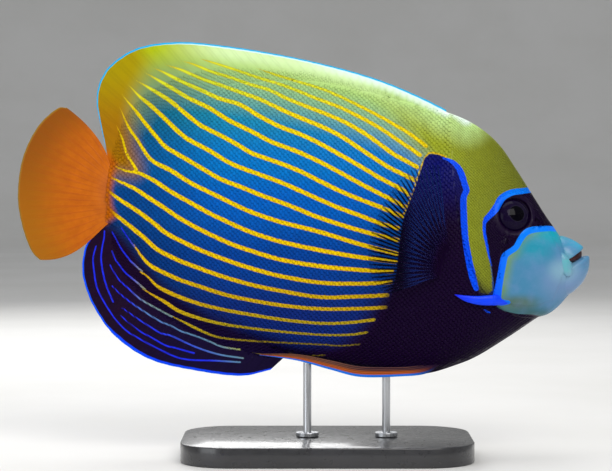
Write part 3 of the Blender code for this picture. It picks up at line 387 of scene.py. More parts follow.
def line_depth(x, z, points, half, taper=0.0):
    """How deep a point lies in a line of that half width, less the taper at the line's far end."""
    corners = np.column_stack([from_photo(points), np.broadcast_to(half, len(points))])
    fine = curve_through(corners, np.linspace(0, 1, 4 * len(points)))
    along = travelled(fine[:, 0], fine[:, 1])
    fine[:, 2] -= taper * ramp(along, along[-1] - TAPER_RUN, along[-1])
    low, high = fine[:, :2].min(0) + OUTSIDE, fine[:, :2].max(0) - OUTSIDE
    near = np.flatnonzero((x > low[0]) & (x < high[0]) & (z > low[1]) & (z < high[1]))
    here = np.stack([x[near], z[near]], axis=-1)
    best = np.full(len(near), OUTSIDE)
    for start, end in zip(fine, fine[1:]):
        off, share = off_run(here, start[:2], end[:2])
        best = np.maximum(best, start[2] + share * (end[2] - start[2]) - off)
    depth = np.full(len(x), OUTSIDE)
    depth[near] = best
    return depth


def deepest(x, z, lines):
    """How deep a point lies in whichever of these lines it is deepest in."""
    depth = np.full(len(x), OUTSIDE)
    for line in lines:
        depth = np.maximum(depth, line_depth(x, z, *line))
    return depth


def patch_depth(x, z, corners):
    """How deep a point lies in a patch with that outline, with less than nought outside it."""
    inside = np.zeros(len(x), bool)
    nearest = np.full(len(x), np.inf)
    here = np.stack([x, z], axis=-1)
    for start, end in zip(corners, np.roll(corners, -1, axis=0)):
        nearest = np.minimum(nearest, off_run(here, start, end)[0])
        crosses = (start[1] > z) != (end[1] > z)
        across, rise = end - start
        inside ^= crosses & (x < start[0] + (z - start[1]) / (rise or 1.0) * across)
    return np.where(inside, nearest, -nearest)


def distance(x, z, spots):
    """How far points lie from the nearest of these spots."""
    away = np.full(len(x), np.inf)
    for spot_x, spot_z in spots:
        away = np.minimum(away, np.hypot(x - spot_x, z - spot_z))
    return away


def camera_place():
    """Where the camera stands: in front of the photograph's middle, and a little above it."""
    middle = from_photo([PHOTO_MIDDLE])[0]
    rise = math.radians(CAMERA_RISE)
    return middle[0], -CAMERA_AWAY * math.cos(rise), middle[1] + CAMERA_AWAY * math.sin(rise)


def as_pictured(x, z, half):
    """Where points that stand out by that half width show on the middle plane in the photograph."""
    camera_x, camera_y, camera_z = camera_place()
    share = camera_y / (camera_y + np.abs(half))
    return camera_x + (x - camera_x) * share, camera_z + (z - camera_z) * share


def markings(points):
    """The pattern's fields at points of the fish: three values in each of four vectors."""
    x, half, z = np.asarray(points, float).T
    edge = np.vstack([curve_through(DORSAL_EDGE, np.linspace(0, 1, 60)), from_photo(NAPE_TOP)])
    top = edge[(edge[:, 1] > TOP_FROM) | (edge[:, 0] > 0)]
    off, top_off = distance(x, z, edge), distance(x, z, top)
    width = np.minimum(np.interp(off, WIDE_OFF, WIDE_BY_OFF), np.interp(z, WIDE_HEIGHT, WIDE_BY_HEIGHT))
    pictured = as_pictured(x, z, half)
    tapers = [TAIL_TAPER if n in TAIL_STRIPES else STRIPE_TAPER for n in range(len(STRIPES))]
    stripe = deepest(*pictured, [(line, 0.0, taper) for line, taper in zip(STRIPES, tapers)]) + width
    stripe = np.maximum(stripe, line_depth(x, z, PATCH_LINE, PATCH_LINE_HALF))
    line = deepest(*pictured, [(thin, LINE_HALF, LINE_TAPER) for thin in LINES])
    band = deepest(x, z, [(broad, np.array(widths) * PIXEL) for broad, widths in BANDS])
    mask, muzzle, dark = (patch_depth(x, z, from_photo(patch)) for patch in (MASK, MUZZLE, DARK))
    ochre, strip, purple, orange = (
        ramp(patch_depth(x, z, from_photo(patch)), *soft) for patch, soft in SOFT_PATCHES
    )
    green = np.interp(top_off, GREEN_OFF, GREEN_SHARE)
    pixel_x, pixel_y = x / PIXEL + PIXEL_X, PIXEL_Z - z / PIXEL
    ahead = (pixel_x - NAPE_AT[0]) * NAPE_WAY[0] + (pixel_y - NAPE_AT[1]) * NAPE_WAY[1]
    olive = np.maximum(ramp(ahead, NAPE_FROM, NAPE_TO), strip)
    fields = {
        "marks_a": (stripe, line, band),
        "marks_b": (mask, muzzle, dark),
        "zones_a": (green, ochre, olive),
        "zones_b": (purple, orange, off),
    }
    return {name: np.stack(values, axis=-1) for name, values in fields.items()}


# The body's surface.


def blended(places):
    """The table of sections, blended smoothly and with no overshoot at places along the body."""
    rows = np.array([np.hstack([np.ravel(part) for part in section]) for section in SECTIONS.values()])
    step = np.diff(rows, axis=0)
    slope = np.zeros_like(rows)
    slope[0], slope[-1] = step[0], step[-1]
    same_way = step[:-1] * step[1:] > 0
    total = np.where(same_way, step[:-1] + step[1:], 1.0)
    slope[1:-1] = np.where(same_way, 2 * step[:-1] * step[1:] / total, 0.0)
    row = np.minimum(places.astype(int), len(step) - 1)
    t = (places - row)[:, None]
    return (
        (1 + 2 * t) * (1 - t) ** 2 * rows[row]
        + t * (1 - t) ** 2 * slope[row]
        + t * t * (3 - 2 * t) * rows[row + 1]
        + t * t * (t - 1) * slope[row + 1]
    )


def relief(x, z, places, shares):
    """How far the skin stands out or sinks: the gill slit, cheek plate, eye's rim and nostrils."""
    near_gill = np.exp(-(((GILL - places) / GILL_FADE) ** 2)) * ramp(shares, GILL_TOP, GILL_FULL)
    rise = np.where(places < GILL, -GILL_STEP * near_gill * ramp(1 - shares, 0, GILL_KEEL), 0.0)
    head = np.flatnonzero(places >= GILL)
    x, z = x[head], z[head]
    plate = patch_depth(x, z, np.array(CHEEK_PLATE, float))
    lift = CHEEK_STEP * ramp(plate, *CHEEK_EDGE) * np.clip(1 - plate / CHEEK_RUN, 0, 1)
    off = np.hypot(x - EYE_AT[0], z - EYE_AT[1])
    lift *= ramp(off, *ORBIT_CLEAR)
    lift += ORBIT_RISE * np.exp(-(((off - ORBIT_OUT - ORBIT_ROLL) / ORBIT_BREADTH) ** 2))
    lift -= (ORBIT_SINK + ORBIT_RISE) * (1 - ramp(off, ORBIT_IN, ORBIT_OUT))
    for nostril in NOSTRILS:
        off = np.hypot(x - nostril[0], z - nostril[1])
        lift -= NOSTRIL_DEPTH * np.exp(-((off / NOSTRIL_RADIUS) ** 4))
        lift += NOSTRIL_RIM * np.exp(-(((off - NOSTRIL_RIM_AT) / NOSTRIL_RIM_BREADTH) ** 2))
    rise[head] += lift * ramp(shares[head], *BACK_CLEAR)
    return rise


def body_points(places, shares):
    """Points of the left side, from the back at share nought to the belly at share one."""
    flat = blended(places)
    half_width, level, crest, keel, back_power, belly_power = flat[:, 6:].T
    t = shares[:, None]
    bow = (1 - t) ** 2 * flat[:, 0:2] + 2 * t * (1 - t) * flat[:, 4:6] + t * t * flat[:, 2:4]
    power = back_power + (belly_power - back_power) * shares
    swell = np.clip(np.sin(math.pi * shares ** (math.log(0.5) / np.log(level))), 0, 1) ** power
    half = np.hypot(half_width * swell, crest + (keel - crest) * shares)
    half = half + relief(bow[:, 0], bow[:, 1], places, shares)
    return np.stack([bow[:, 0], half, bow[:, 1]], axis=-1)


def quads(rows, columns, closed=False):
    """Faces of a grid of points, whose rows may close into rings."""
    return [
        tuple(row * columns + k % columns for row, k in ((r, c), (r, c + 1), (r + 1, c + 1), (r + 1, c)))
        for r in range(rows - 1)
        for c in range(columns if closed else columns - 1)
    ]


class Surface:
    """One side of the skin or of a fin as a grid of points, to be looked at from the side."""

    def __init__(self, grid, spots):
        rows, columns = grid.shape[:2]
        self.columns, self.spots = columns - 1, spots
        self.tree = BVHTree.FromPolygons(grid.reshape(-1, 3).tolist(), quads(rows, columns))

    def seen(self, x, z):
        """Point, facing and place on the map for a spot seen from the fish's left."""
        point, normal, face = self.tree.ray_cast(Vector((x, FAR, z)), Vector((0, -1, 0)))[:3]
        if point is None:
            return None
        row, column = divmod(face, self.columns)
        spot = (row / self.spots[0], column / self.spots[1])
        return point, normal if normal.y > 0 else -normal, spot

    def half_width(self, x, z):
        return self.seen(x, z)[0].y


class Skin(Surface):
    """The body as one closed surface of rings."""

    def __init__(self):
        trunk = np.linspace(0, GILL, GILL * TRUNK_STEPS + 1)[:-1]
        head = np.linspace(GILL, len(SECTIONS) - 1, (len(SECTIONS) - 1 - GILL) * HEAD_STEPS + 1)
        self.places = np.concatenate([trunk, [GILL - GILL_EDGE], head])
        shares = (1 - np.cos(np.linspace(0, math.pi, GIRTH_STEPS + 1))) / 2
        rings, steps = len(self.places), len(shares)
        flat = body_points(np.repeat(self.places, steps), np.tile(shares, rings))
        self.left = flat.reshape(rings, steps, 3)
        right = self.left[:, ::-1] * MIRRORED
        under = self.bridge(self.left[:, -1], self.left[:, -2])
        over = self.bridge(self.left[:, 0], self.left[:, 1])[:, ::-1]
        self.rings = np.concatenate([self.left, under, right, over], axis=1)
        self.around = self.rings.shape[1]
        super().__init__(self.left, (rings, self.around))

    def bridge(self, last, before):
        """Points that round the skin off over the back or the belly, from left to right."""
        out = last - before
        out[:, 1] = 0
        out /= np.linalg.norm(out, axis=1)[:, None]
        half = last[:, 1]
        points = np.repeat(last[:, None], len(BRIDGE), axis=1)
        points += (0.5 * half[:, None] * np.sqrt(1 - BRIDGE**2))[..., None] * out[:, None]
        points[..., 1] = half[:, None] * BRIDGE
        return points

    def edge_line(self, share, span):
        """The line of the back, share nought, or of the belly, share one, from the tail forwards."""
        places = np.linspace(0, GILL, EDGE_POINTS)
        line = body_points(places, np.full(EDGE_POINTS, float(share)))[:, (0, 2)]
        return line[(line[:, 0] >= span[0]) & (line[:, 0] <= span[1])]


# Meshes and materials.


def in_scene(name, data):
    obj = bpy.data.objects.new(name, data)
    bpy.context.scene.collection.objects.link(obj)
    return obj


def object_from(name, points, faces, fields=None):
    """A smooth mesh object from points in millimetres, with named vectors at its points."""
    mesh = bpy.data.meshes.new(name)
    mesh.from_pydata((np.asarray(points, float) * MM).tolist(), [], faces)
    mesh.shade_smooth()
    for field, values in (fields or {}).items():
        layer = mesh.attributes.new(field, "FLOAT_VECTOR", "POINT")
        layer.data.foreach_set("vector", np.asarray(values, np.float32).ravel())
    return in_scene(name, mesh)


def outwards(obj):
    shape = bmesh.new()
    shape.from_mesh(obj.data)
    bmesh.ops.recalc_face_normals(shape, faces=shape.faces)
    shape.to_mesh(obj.data)
    shape.free()
    return obj


def map_points(obj, spots):
    """A UV map from one spot for each of the mesh's points."""
    layer = obj.data.uv_layers.new(name="OFBake")
    corner = np.zeros(len(obj.data.loops), np.int32)
    obj.data.loops.foreach_get("vertex_index", corner)
    layer.data.foreach_set("uv", np.asarray(spots, np.float32)[corner].ravel())


class Paint:
    """A material, with short words for its nodes. A tuple is a colour, as srgb takes it."""

    def __init__(self, name, coat=0.0, coat_roughness=0.03, specular=0.5, metal=0.0):
        self.material = bpy.data.materials.new(name)
        self.material.use_nodes = True
        self.nodes = self.material.node_tree.nodes
        self.shader = self.nodes["Principled BSDF"]
        for socket, value in (
            ("Coat Weight", coat), ("Coat Roughness", coat_roughness), ("Specular IOR Level", specular),
            ("Metallic", metal),
        ):
            self.shader.inputs[socket].default_value = value
        self.place = None
        self.spot = self.nodes.new("ShaderNodeTexCoord").outputs["Object"]

    def plug(self, value, socket):
        if isinstance(value, bpy.types.NodeSocket):
            self.material.node_tree.links.new(value, socket)
        else:
            socket.default_value = srgb(*value) if isinstance(value, tuple) else value

    def node(self, kind, inputs, **settings):
        """A new node's outputs, once its settings and some of its inputs are set or linked."""
        node = self.nodes.new("ShaderNode" + kind)
        for word, value in settings.items():
            setattr(node, word, value)
        for socket, value in inputs.items():
            self.plug(value, node.inputs[socket])
        return node.outputs

    def maths(self, operation, a, b=0.0):
        return self.node("Math", {0: a, 1: b}, operation=operation)[0]

    def ramp(self, value, low, high, start=0.0, end=1.0):
        inputs = {"Value": value, "From Min": low, "From Max": high, "To Min": start, "To Max": end}
        return self.node("MapRange", inputs, interpolation_type="SMOOTHSTEP")[0]

    def mix(self, share, a, b):
        return self.node("Mix", {"Factor": share, "A": a, "B": b}, data_type="RGBA")["Result"]

    def over(self, colour, value, span, other, most=1.0):
        """A colour that gives way to another as the value runs through the span."""
        return self.mix(self.ramp(value, *span, 0.0, most), colour, other)

    def steps(self, value, marks, colours):
        """Colours blended from mark to mark."""
        colour = colours[0]
        for low, high, upper in zip(marks, marks[1:], colours[1:]):
            colour = self.over(colour, value, (low, high), upper)
        return colour

    def blob(self, colour, middle, reach, other):
        """Another colour in a soft round patch of the side view."""
        part = [
            self.maths("DIVIDE", self.maths("SUBTRACT", value, centre), size)
            for value, centre, size in zip(self.height(), middle, reach)
        ]
        off = self.maths("SQRT", self.maths("ADD", *[self.maths("MULTIPLY", v, v) for v in part]))
        return self.over(colour, off, (1.0, 0.1), other)

    def field(self, name):
        """The three values of a named vector."""
        vector = self.node("Attribute", {}, attribute_name=name)["Vector"]
        return tuple(self.node("SeparateXYZ", {0: vector}))

    def stretched(self, stretch):
        return self.node("Mapping", {"Scale": [v / MM for v in stretch], "Vector": self.spot})[0]

    def noise(self, scale, detail=3.0, rough=0.55, stretch=(1, 1, 1)):
        """Noise, with its scale in lumps for each millimetre."""
        inputs = {"Scale": scale, "Detail": detail, "Roughness": rough, "Vector": self.stretched(stretch)}
        return self.node("TexNoise", inputs)["Fac"]

    def cells(self, scale):
        """Distance to the nearest of scattered points, with the scale in points for each millimetre."""
        return self.node("TexVoronoi", {"Scale": scale, "Vector": self.stretched((1, 1, 1))})["Distance"]

    def height(self):
        """Where the point lies along the fish and up it, in millimetres."""
        if self.place is None:
            parts = self.node("SeparateXYZ", {0: self.spot})
            self.place = [self.maths("DIVIDE", parts[k], MM) for k in (0, 2)]
        return self.place

    def bump(self, height, depth, below=None):
        under = {} if below is None else {"Normal": below}
        return self.node("Bump", {"Distance": depth * MM, "Height": height, **under})[0]

    def finish(self, colour, roughness, normal=None):
        self.plug(colour, self.shader.inputs["Base Color"])
        self.plug(roughness, self.shader.inputs["Roughness"])
        if normal is not None:
            self.plug(normal, self.shader.inputs["Normal"])
        return self.material


def ground_colour(paint, fields, mottle):
    """What lies under the stripes: blue flank, lime and ochre dorsal fin, olive nape, dark belly, and painted
    sheen on the nape and along the back's edge.
    """
    green, ochre, olive, purple, edge, dark = fields
    along, up = paint.height()
    ground = paint.steps(up, GROUND_HEIGHTS, GROUND_BLUES)
    ground = paint.over(ground, along, (-40, -108), (0, 40, 84), 0.62)
    lime = paint.over((218, 246, 182), edge, (3, 14), (192, 222, 96))
    lime = paint.over(lime, along, (-40, -92), (176, 192, 18))
    ground = paint.mix(green, ground, lime)
    ground = paint.mix(ochre, ground, paint.over((160, 108, 0), up, (196, 240), (166, 146, 0)))
    nape = paint.over((160, 172, 36), along, (60, 135), (112, 118, 38))
    # Painted sheen: the nape pales to a light green towards the back's edge.
    nape = paint.over(nape, edge, (22, 5), (190, 224, 140))
    nape = paint.over(nape, mottle, (0.35, 0.7), (120, 124, 24), 0.25)
    ground = paint.mix(olive, ground, nape)
    # Painted highlight: a near-white sheen along the back's edge, from about the middle of the fish forwards.
    painted_sheen = paint.maths("MULTIPLY", paint.ramp(edge, 6.5, 2), paint.ramp(along, -14, 34))
    ground = paint.mix(painted_sheen, ground, (232, 252, 236))
    ground = paint.mix(purple, ground, paint.over((14, 0, 44), along, (-70, -120), (24, 0, 34)))
    shade = paint.maths("MULTIPLY", paint.ramp(dark, -18, -1), paint.ramp(up, 112, 88))
    return paint.mix(shade, ground, (26, 2, 44))


def muzzle_colour(paint, muzzle, mottle):
    _, up = paint.height()
    rim = paint.over((62, 108, 116), up, (90, 104), (112, 146, 76))
    snout = paint.over(rim, muzzle, (0.5, 9), (70, 132, 170))
    for middle, reach, colour in MUZZLE_BLOBS:
        snout = paint.blob(snout, middle, reach, colour)
    return paint.over(snout, mottle, (0.4, 0.75), (112, 142, 190), 0.3)


def fish_colour(paint):
    """The whole pattern, from the fields at the mesh's points."""
    stripe, line, band = paint.field("marks_a")
    mask, muzzle, dark = paint.field("marks_b")
    green, ochre, olive = paint.field("zones_a")
    purple, orange, edge = paint.field("zones_b")
    along, up = paint.height()
    mottle = paint.noise(0.12, 4)
    ground = ground_colour(paint, (green, ochre, olive, purple, edge, dark), mottle)
    yellow = paint.steps(up, YELLOW_HEIGHTS, YELLOWS)
    rim = paint.maths("MULTIPLY", paint.ramp(stripe, 0.6, 0.0, 0.0, 0.5), paint.ramp(up, 80, 112))
    yellow = paint.mix(rim, yellow, (176, 104, 0))
    colour = paint.over(ground, stripe, CRISP, yellow)
    level = paint.maths("ADD", up, paint.maths("MULTIPLY", along, LINE_SLOPE))
    pale = paint.steps(level, LINE_LEVELS, (LINE_BLUE, (92, 134, 170), (160, 164, 84)))
    pale = paint.over(LINE_BLUE, along, (-108, -94), pale)
    colour = paint.over(colour, line, CRISP, pale)
    colour = paint.mix(orange, colour, paint.over((196, 101, 0), mottle, (0.3, 0.7), (182, 90, 0)))
    breast = paint.over((20, 1, 38), up, (138, 180), (6, 12, 98))
    soft = paint.maths("MULTIPLY", paint.ramp(dark, -7, 2), paint.ramp(up, 122, 104))
    colour = paint.mix(paint.maths("MAXIMUM", paint.ramp(dark, -0.5, 0.4), soft), colour, breast)
    colour = paint.over(colour, mask, CRISP, (18, 2, 34))
    colour = paint.over(colour, muzzle, CRISP, muzzle_colour(paint, muzzle, mottle))
    blue = paint.over((0, 78, 250), along, (108, 128), (0, 124, 250))
    return paint.over(colour, band, CRISP, blue)


def skin_paint():
    paint = Paint("fish_skin", 0.04, 0.2, 0.1)
    pores = paint.bump(paint.cells(1.1), 0.05)
    grain = paint.bump(paint.noise(2.5), 0.03, pores)
    return paint.finish(fish_colour(paint), paint.ramp(paint.noise(0.3), 0.3, 0.7, 0.36, 0.5), grain)


def lip_paint():
    """Wet skin of the lips, with the paler plate of the upper jaw."""
    paint = Paint("fish_lips", 0.12, 0.15, 0.25)
    colour = paint.blob(fish_colour(paint), (157.5, 118), (6.5, 11), (92, 172, 182))
    colour = paint.over(colour, paint.noise(0.5, 3, 0.5, (0.4, 1, 1)), (0.35, 0.7), (120, 144, 190), 0.3)
    return paint.finish(colour, 0.34, paint.bump(paint.noise(1.6), 0.05))


def shaded_mouth_paint():
    # The mouth's inside: its flesh colour darkened to a deep red, painted shade of the mouth's hollow.
    paint = Paint("mouth_inside", 0.1, 0.2, 0.2)
    folds = paint.noise(0.6)
    colour = paint.over((44, 14, 18), folds, (0.35, 0.7), (66, 28, 30))
    return paint.finish(colour, 0.4, paint.bump(folds, 0.1))


def scale_paint():
    """Scales, with fine growth rings, a tone that changes a little from scale to scale, and painted shade
    along each scale's rear rim.
    """
    paint = Paint("fish_scales", 0.02, 0.2, 0.05)
    shade, rear, _ = paint.field("scale")
    colour = fish_colour(paint)
    darker = paint.mix(0.4, colour, (0, 0, 20))
    toned_and_shaded = paint.mix(paint.ramp(shade, 0.0, 1.0, 0.25, 0.0), colour, darker)
    # Painted shade: each scale darker along its rear rim, where it lies over the next scale.
    toned_and_shaded = paint.over(toned_and_shaded, rear, (0.34, 0.5), darker, 0.15)
    rings = paint.bump(paint.noise(4.0, 2), 0.015)
    return paint.finish(toned_and_shaded, paint.ramp(shade, 0.0, 1.0, 0.36, 0.48), rings)


def fin_paint(name, outer, inner, edge_width, ray_dark, slim):
    """A fin in the body's pattern, with its own edging and its rays a little darker. The near-white inner
    band of the dorsal fin's edging is partly its pale margin and partly painted highlight.
    """
    paint = Paint(name, 0.03, 0.2, 0.08)
    ray, edge, _ = paint.field("fin")
    colour = fish_colour(paint)
    deeper = paint.mix(0.6, colour, (0, 0, 12))
    shaded = paint.mix(paint.maths("MULTIPLY", ray, ray_dark), colour, deeper)
    # Outer colour at the very edge, then the inner one; on the dorsal fin the inner near-white is partly
    # painted highlight.
    margin_and_highlight = paint.over(outer, edge, (0.35 * edge_width, 0.7 * edge_width), inner)
    wide = paint.maths("MULTIPLY", paint.ramp(paint.height()[0], *slim), edge_width)
    edged = paint.over(shaded, paint.maths("SUBTRACT", edge, wide), (0.3, -0.3), margin_and_highlight)
    return paint.finish(edged, 0.42, paint.bump(paint.noise(3.0), 0.02))


def tail_paint():
    paint = Paint("tail_fin_skin", 0.05, 0.25, 0.15)
    ray, edge, down = paint.field("fin")
    flesh = paint.over((198, 101, 0), paint.noise(0.15, 4), (0.3, 0.7), (184, 90, 0))
    outer = paint.over((164, 98, 0), paint.height()[1], (130, 200), (142, 76, 0))
    flesh = paint.over(flesh, down, (0.35, 0.95), outer)
    seen = paint.maths("MULTIPLY", ray, paint.ramp(down, 0.95, 0.35, 0.06, 0.4))
    edged = paint.over(paint.mix(seen, flesh, (166, 66, 0)), edge, (1.4, 0.2), (150, 112, 24))
    return paint.finish(edged, 0.44, paint.bump(paint.noise(3.0), 0.02))


def pectoral_paint():
    """Clear skin between fine dark rays."""
    paint = Paint("pectoral_fin_skin", specular=0.03)
    ray, _, down = paint.field("fin")
    dark = paint.over((3, 4, 24), paint.height()[0], (57, 66), (16, 30, 84))
    colour = paint.over(dark, down, (0.42, 0.12), (20, 4, 36))
    rays = paint.ramp(ray, 0.35, 0.75, 0.05, 0.92)
    rays = paint.maths("MULTIPLY", rays, paint.ramp(down, 1.0, 0.82, 0.35, 1.0))
    paint.plug(paint.maths("MAXIMUM", rays, paint.ramp(down, 0.3, 0.06)), paint.shader.inputs["Alpha"])
    return paint.finish(colour, 0.6, paint.bump(paint.noise(0.8), 0.01))


def pelvic_paint():
    paint = Paint("pelvic_fin_skin", 0.05, 0.25, 0.15)
    ray, across, down = paint.field("fin")
    upper = paint.over((30, 6, 40), down, (0.35, 0.7), (96, 60, 50))
    flesh = paint.over((176, 78, 12), across, (0.42, 0.72), upper)
    flesh = paint.mix(paint.maths("MULTIPLY", ray, 0.3), flesh, (196, 120, 60))
    edged = paint.over(flesh, across, (0.3, 0.18), (0, 118, 245))
    edged = paint.over(edged, down, (0.2, 0.03), (30, 6, 44))
    return paint.finish(edged, 0.42, paint.bump(paint.noise(3.0), 0.03))


def eye_paint():
    """A black pupil in an iris that is nearly as dark, under a wet clear coat."""
    paint = Paint("eye_wet", 0.03, 0.05, 0.05)
    off, _, _ = paint.field("iris")
    iris = paint.over((14, 6, 32), paint.noise(0.9, 4, 0.6), (0.3, 0.7), (22, 12, 40))
    iris = paint.over(iris, off, (7.0, 9.4), (14, 4, 34))
    ring = paint.over(iris, off, (5.5, 5.0), (30, 26, 44))
    return paint.finish(paint.over(ring, off, (4.9, 4.6), (3, 2, 8)), 0.1)


def spine_paint():
    paint = Paint("cheek_spine_blue", 0.05, 0.15, 0.15)
    blue = paint.over((20, 30, 236), paint.height()[0], (88, 104), (6, 64, 250))
    blue = paint.over(blue, paint.noise(0.8, 3, 0.5, (0.2, 1, 1)), (0.4, 0.7), (30, 84, 255), 0.3)
    return paint.finish(blue, 0.4, paint.bump(paint.noise(1.5, 3, 0.5, (0.15, 1, 1)), 0.08))


def base_paint():
    """Dark lacquer with the fine orange peel and faint dust that such a base has."""
    paint = Paint("stand_base_lacquer", 0.5, 0.12)
    colour = paint.over((38, 38, 41), paint.noise(0.05, 5), (0.35, 0.7), (46, 46, 50))
    rough = paint.ramp(paint.noise(0.2, 4), 0.3, 0.7, 0.26, 0.4)
    return paint.finish(colour, rough, paint.bump(paint.noise(0.6, 2), 0.03))


def rod_paint():
    paint = Paint("stand_rod_steel", metal=1.0)
    drawn = paint.noise(1.2, 4, 0.6, (1, 1, 0.03))
    colour = paint.over((176, 178, 182), drawn, (0.3, 0.7), (206, 208, 212))
    return paint.finish(colour, paint.ramp(drawn, 0.3, 0.7, 0.24, 0.4), paint.bump(drawn, 0.02))


def floor_paint():
    paint = Paint("pale_floor")
    colour = paint.over((226, 225, 222), paint.noise(0.004, 4), (0.3, 0.7), (232, 231, 229))
    return paint.finish(colour, 0.7, paint.bump(paint.noise(0.5), 0.02))


def dress(obj, material, *nodes, slot):
    """Gives a piece its material and its body, and hides the solids that it stands for. The slot is not used.
    """
    obj.data.materials.append(material)
    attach(obj, "root")
    if nodes:
        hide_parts(*nodes)


# Pieces.


def make_skin(skin, paint):
    rings, around = len(skin.places), skin.around
    flat = skin.rings.reshape(-1, 3)
    faces = quads(rings, around, closed=True)
    spots = [
        ((r + down) / rings, (k + across) / around)
        for r in range(rings - 1)
        for k in range(around)
        for down, across in ((0, 0), (0, 1), (1, 1), (1, 0))
    ]
    for r in (0, rings - 1):
        faces.append(tuple(range(r * around, (r + 1) * around)))
        spots.extend((r / rings, k / around) for k in range(around))
    obj = object_from("skin", flat, faces, markings(flat))
    layer = obj.data.uv_layers.new(name="OFBake")
    layer.data.foreach_set("uv", np.array(spots, np.float32).ravel())
    dress(outwards(obj), paint, "head", "trunk", "tail_stalk", slot="flank_skin")


def scale_roots(surface, coat, wanted):
    """Where scales root on the left side: rows along the fish, set like roof tiles."""
    tilt = math.radians(BODY_TILT)
    rear = np.array([-math.cos(tilt), math.sin(tilt)])
    up = np.array([math.sin(tilt), math.cos(tilt)])
    roots = []
    for column, back in enumerate(np.arange(0, COAT_LENGTH, coat.pitch)):
        start = np.array(AXIS_FROM) - rear * back
        hits = [surface.seen(x, z) for x, z in start + COAT_CLIMB[:, None] * up]
        on = np.array([hit is not None for hit in hits])
        if on.sum() < 4:
            continue
        first, last = np.flatnonzero(on)[[0, -1]]
        half = np.array([hit[0].y if hit else 0.0 for hit in hits[first : last + 1]])
        q = COAT_CLIMB[first : last + 1]
        length = travelled(q, half)
        length -= np.interp(0, q, length)
        shift = 0.5 * (column % 2)
        low, high = math.ceil(length[0] / coat.row - shift), math.floor(length[-1] / coat.row - shift)
        for q_here in np.interp((np.arange(low, high + 1) + shift) * coat.row, length, q):
            x, z = start + q_here * up
            hit = surface.seen(x, z)
            if hit and wanted(hit, x, z):
                roots.append((*hit[0], *hit[1], *hit[2]))
    return np.array(roots), rear


def make_scales(name, surface, coat, wanted, paint, side, mirror_spot):
    roots, rear = scale_roots(surface, coat, wanted)
    count = len(roots)
    at, out, spot = roots[:, 0:3], roots[:, 3:6], roots[:, 6:8]
    back = np.tile([rear[0], 0.0, rear[1]], (count, 1))
    back -= out * np.sum(back * out, axis=1)[:, None]
    back /= np.linalg.norm(back, axis=1)[:, None]
    if side < 0:
        at, out, back = at * MIRRORED, out * MIRRORED, back * MIRRORED
        spot[:, 1] = mirror_spot - spot[:, 1]
    size = rng.normal(1, SIZE_SPREAD, count)
    shape = np.array([(row, y, rise) for row, ys, rises in SCALE_ROWS for y, rise in zip(ys, rises)])
    length = shape[None, :, 0] * coat.length * size[:, None]
    width = shape[None, :, 1] * coat.width * size[:, None]
    lift = shape[None, :, 2] * coat.lift * rng.normal(1, LIFT_SPREAD, count)[:, None]
    points = at[:, None] + length[..., None] * back[:, None] + width[..., None] * np.cross(out, back)[:, None]
    points = points + lift[..., None] * out[:, None]
    per = len(shape)
    faces = [tuple(corner + n * per for corner in face) for n in range(count) for face in SCALE_FACES]
    seen_at = points.copy()
    seen_at[..., (0, 2)] += rng.normal(0, PATTERN_SPREAD, (count, 1, 2))
    fields = markings(seen_at.reshape(-1, 3))
    shade = rng.random(count)
    fields["scale"] = np.stack(np.broadcast_arrays(shade[:, None], shape[None, :, 0], 0.0), -1)
    obj = object_from(name, points.reshape(-1, 3), faces, fields)
    map_points(obj, (spot[:, None] + shape[None, :, :2] * SCALE_ON_MAP).reshape(-1, 2))
    dress(outwards(obj), paint, slot="flank_skin")


def make_coats(skin, paint):
    muzzle = from_photo(MUZZLE)

    def on_trunk(hit, x, z):
        return hit[2][0] * len(skin.places) < GILL * TRUNK_STEPS - 1

    def on_head(hit, x, z):
        if hit[2][0] * len(skin.places) < GILL * TRUNK_STEPS + 1:
            return False
        if math.hypot(x - EYE_AT[0], z - EYE_AT[1]) < EYE_BARE:
            return False
        return patch_depth(np.array([x]), np.array([z]), muzzle)[0] < -MUZZLE_BARE

    turned = 1 - 3 / skin.around
    for word, side in SIDES:
        make_scales(f"scales_trunk_{word}", skin, TRUNK_COAT, on_trunk, paint, side, turned)
        make_scales(f"scales_head_{word}", skin, HEAD_COAT, on_head, paint, side, turned)


def ray_shape(rays, spines=0, columns=RAY_COLUMNS):
    """Shares across a fin, and for each whether it is in a spine and how far off its ray it is."""
    total = rays + spines
    offset = np.tile(np.arange(columns) / columns - 0.5, total)
    number = np.repeat(np.arange(total), columns)
    shares = np.append((number + 0.5 + offset) / total, 1.0)
    return shares, np.append(number, total - 1) < spines, np.append(offset, 0.5)


def ray_at(offset, breadth):
    return np.exp(-((offset / breadth) ** 2))


def ridges(offset, spiny, down):
    """How much of a ray there is at each spot: spines stay single, and soft rays fork twice."""
    fork, twig = (size * ramp(down, *span)[:, None] for size, span in RAY_FORKS)
    middles = [side * fork + way * twig for side in (-1, 1) for way in (-1, 1)]
    soft = np.max([ray_at(offset[None] - middle, RAY_BREADTH) for middle in middles], axis=0)
    stiff = ray_at(offset[None], SPINE_BREADTH) * (1 - STIFF_THINS * down[:, None])
    return np.where(spiny[None], stiff, soft)


def threads(offset, down):
    """Rays as fine as hair: each splits in two, and spreads to fill the fin."""
    fork = THREAD_FORK * ramp(down, *THREAD_SPAN)[:, None]
    breadth = THREAD_BREADTH - THREAD_NARROWS * down[:, None]
    return np.max([ray_at(offset[None] - side * fork, breadth) for side in (-1, 1)], axis=0)


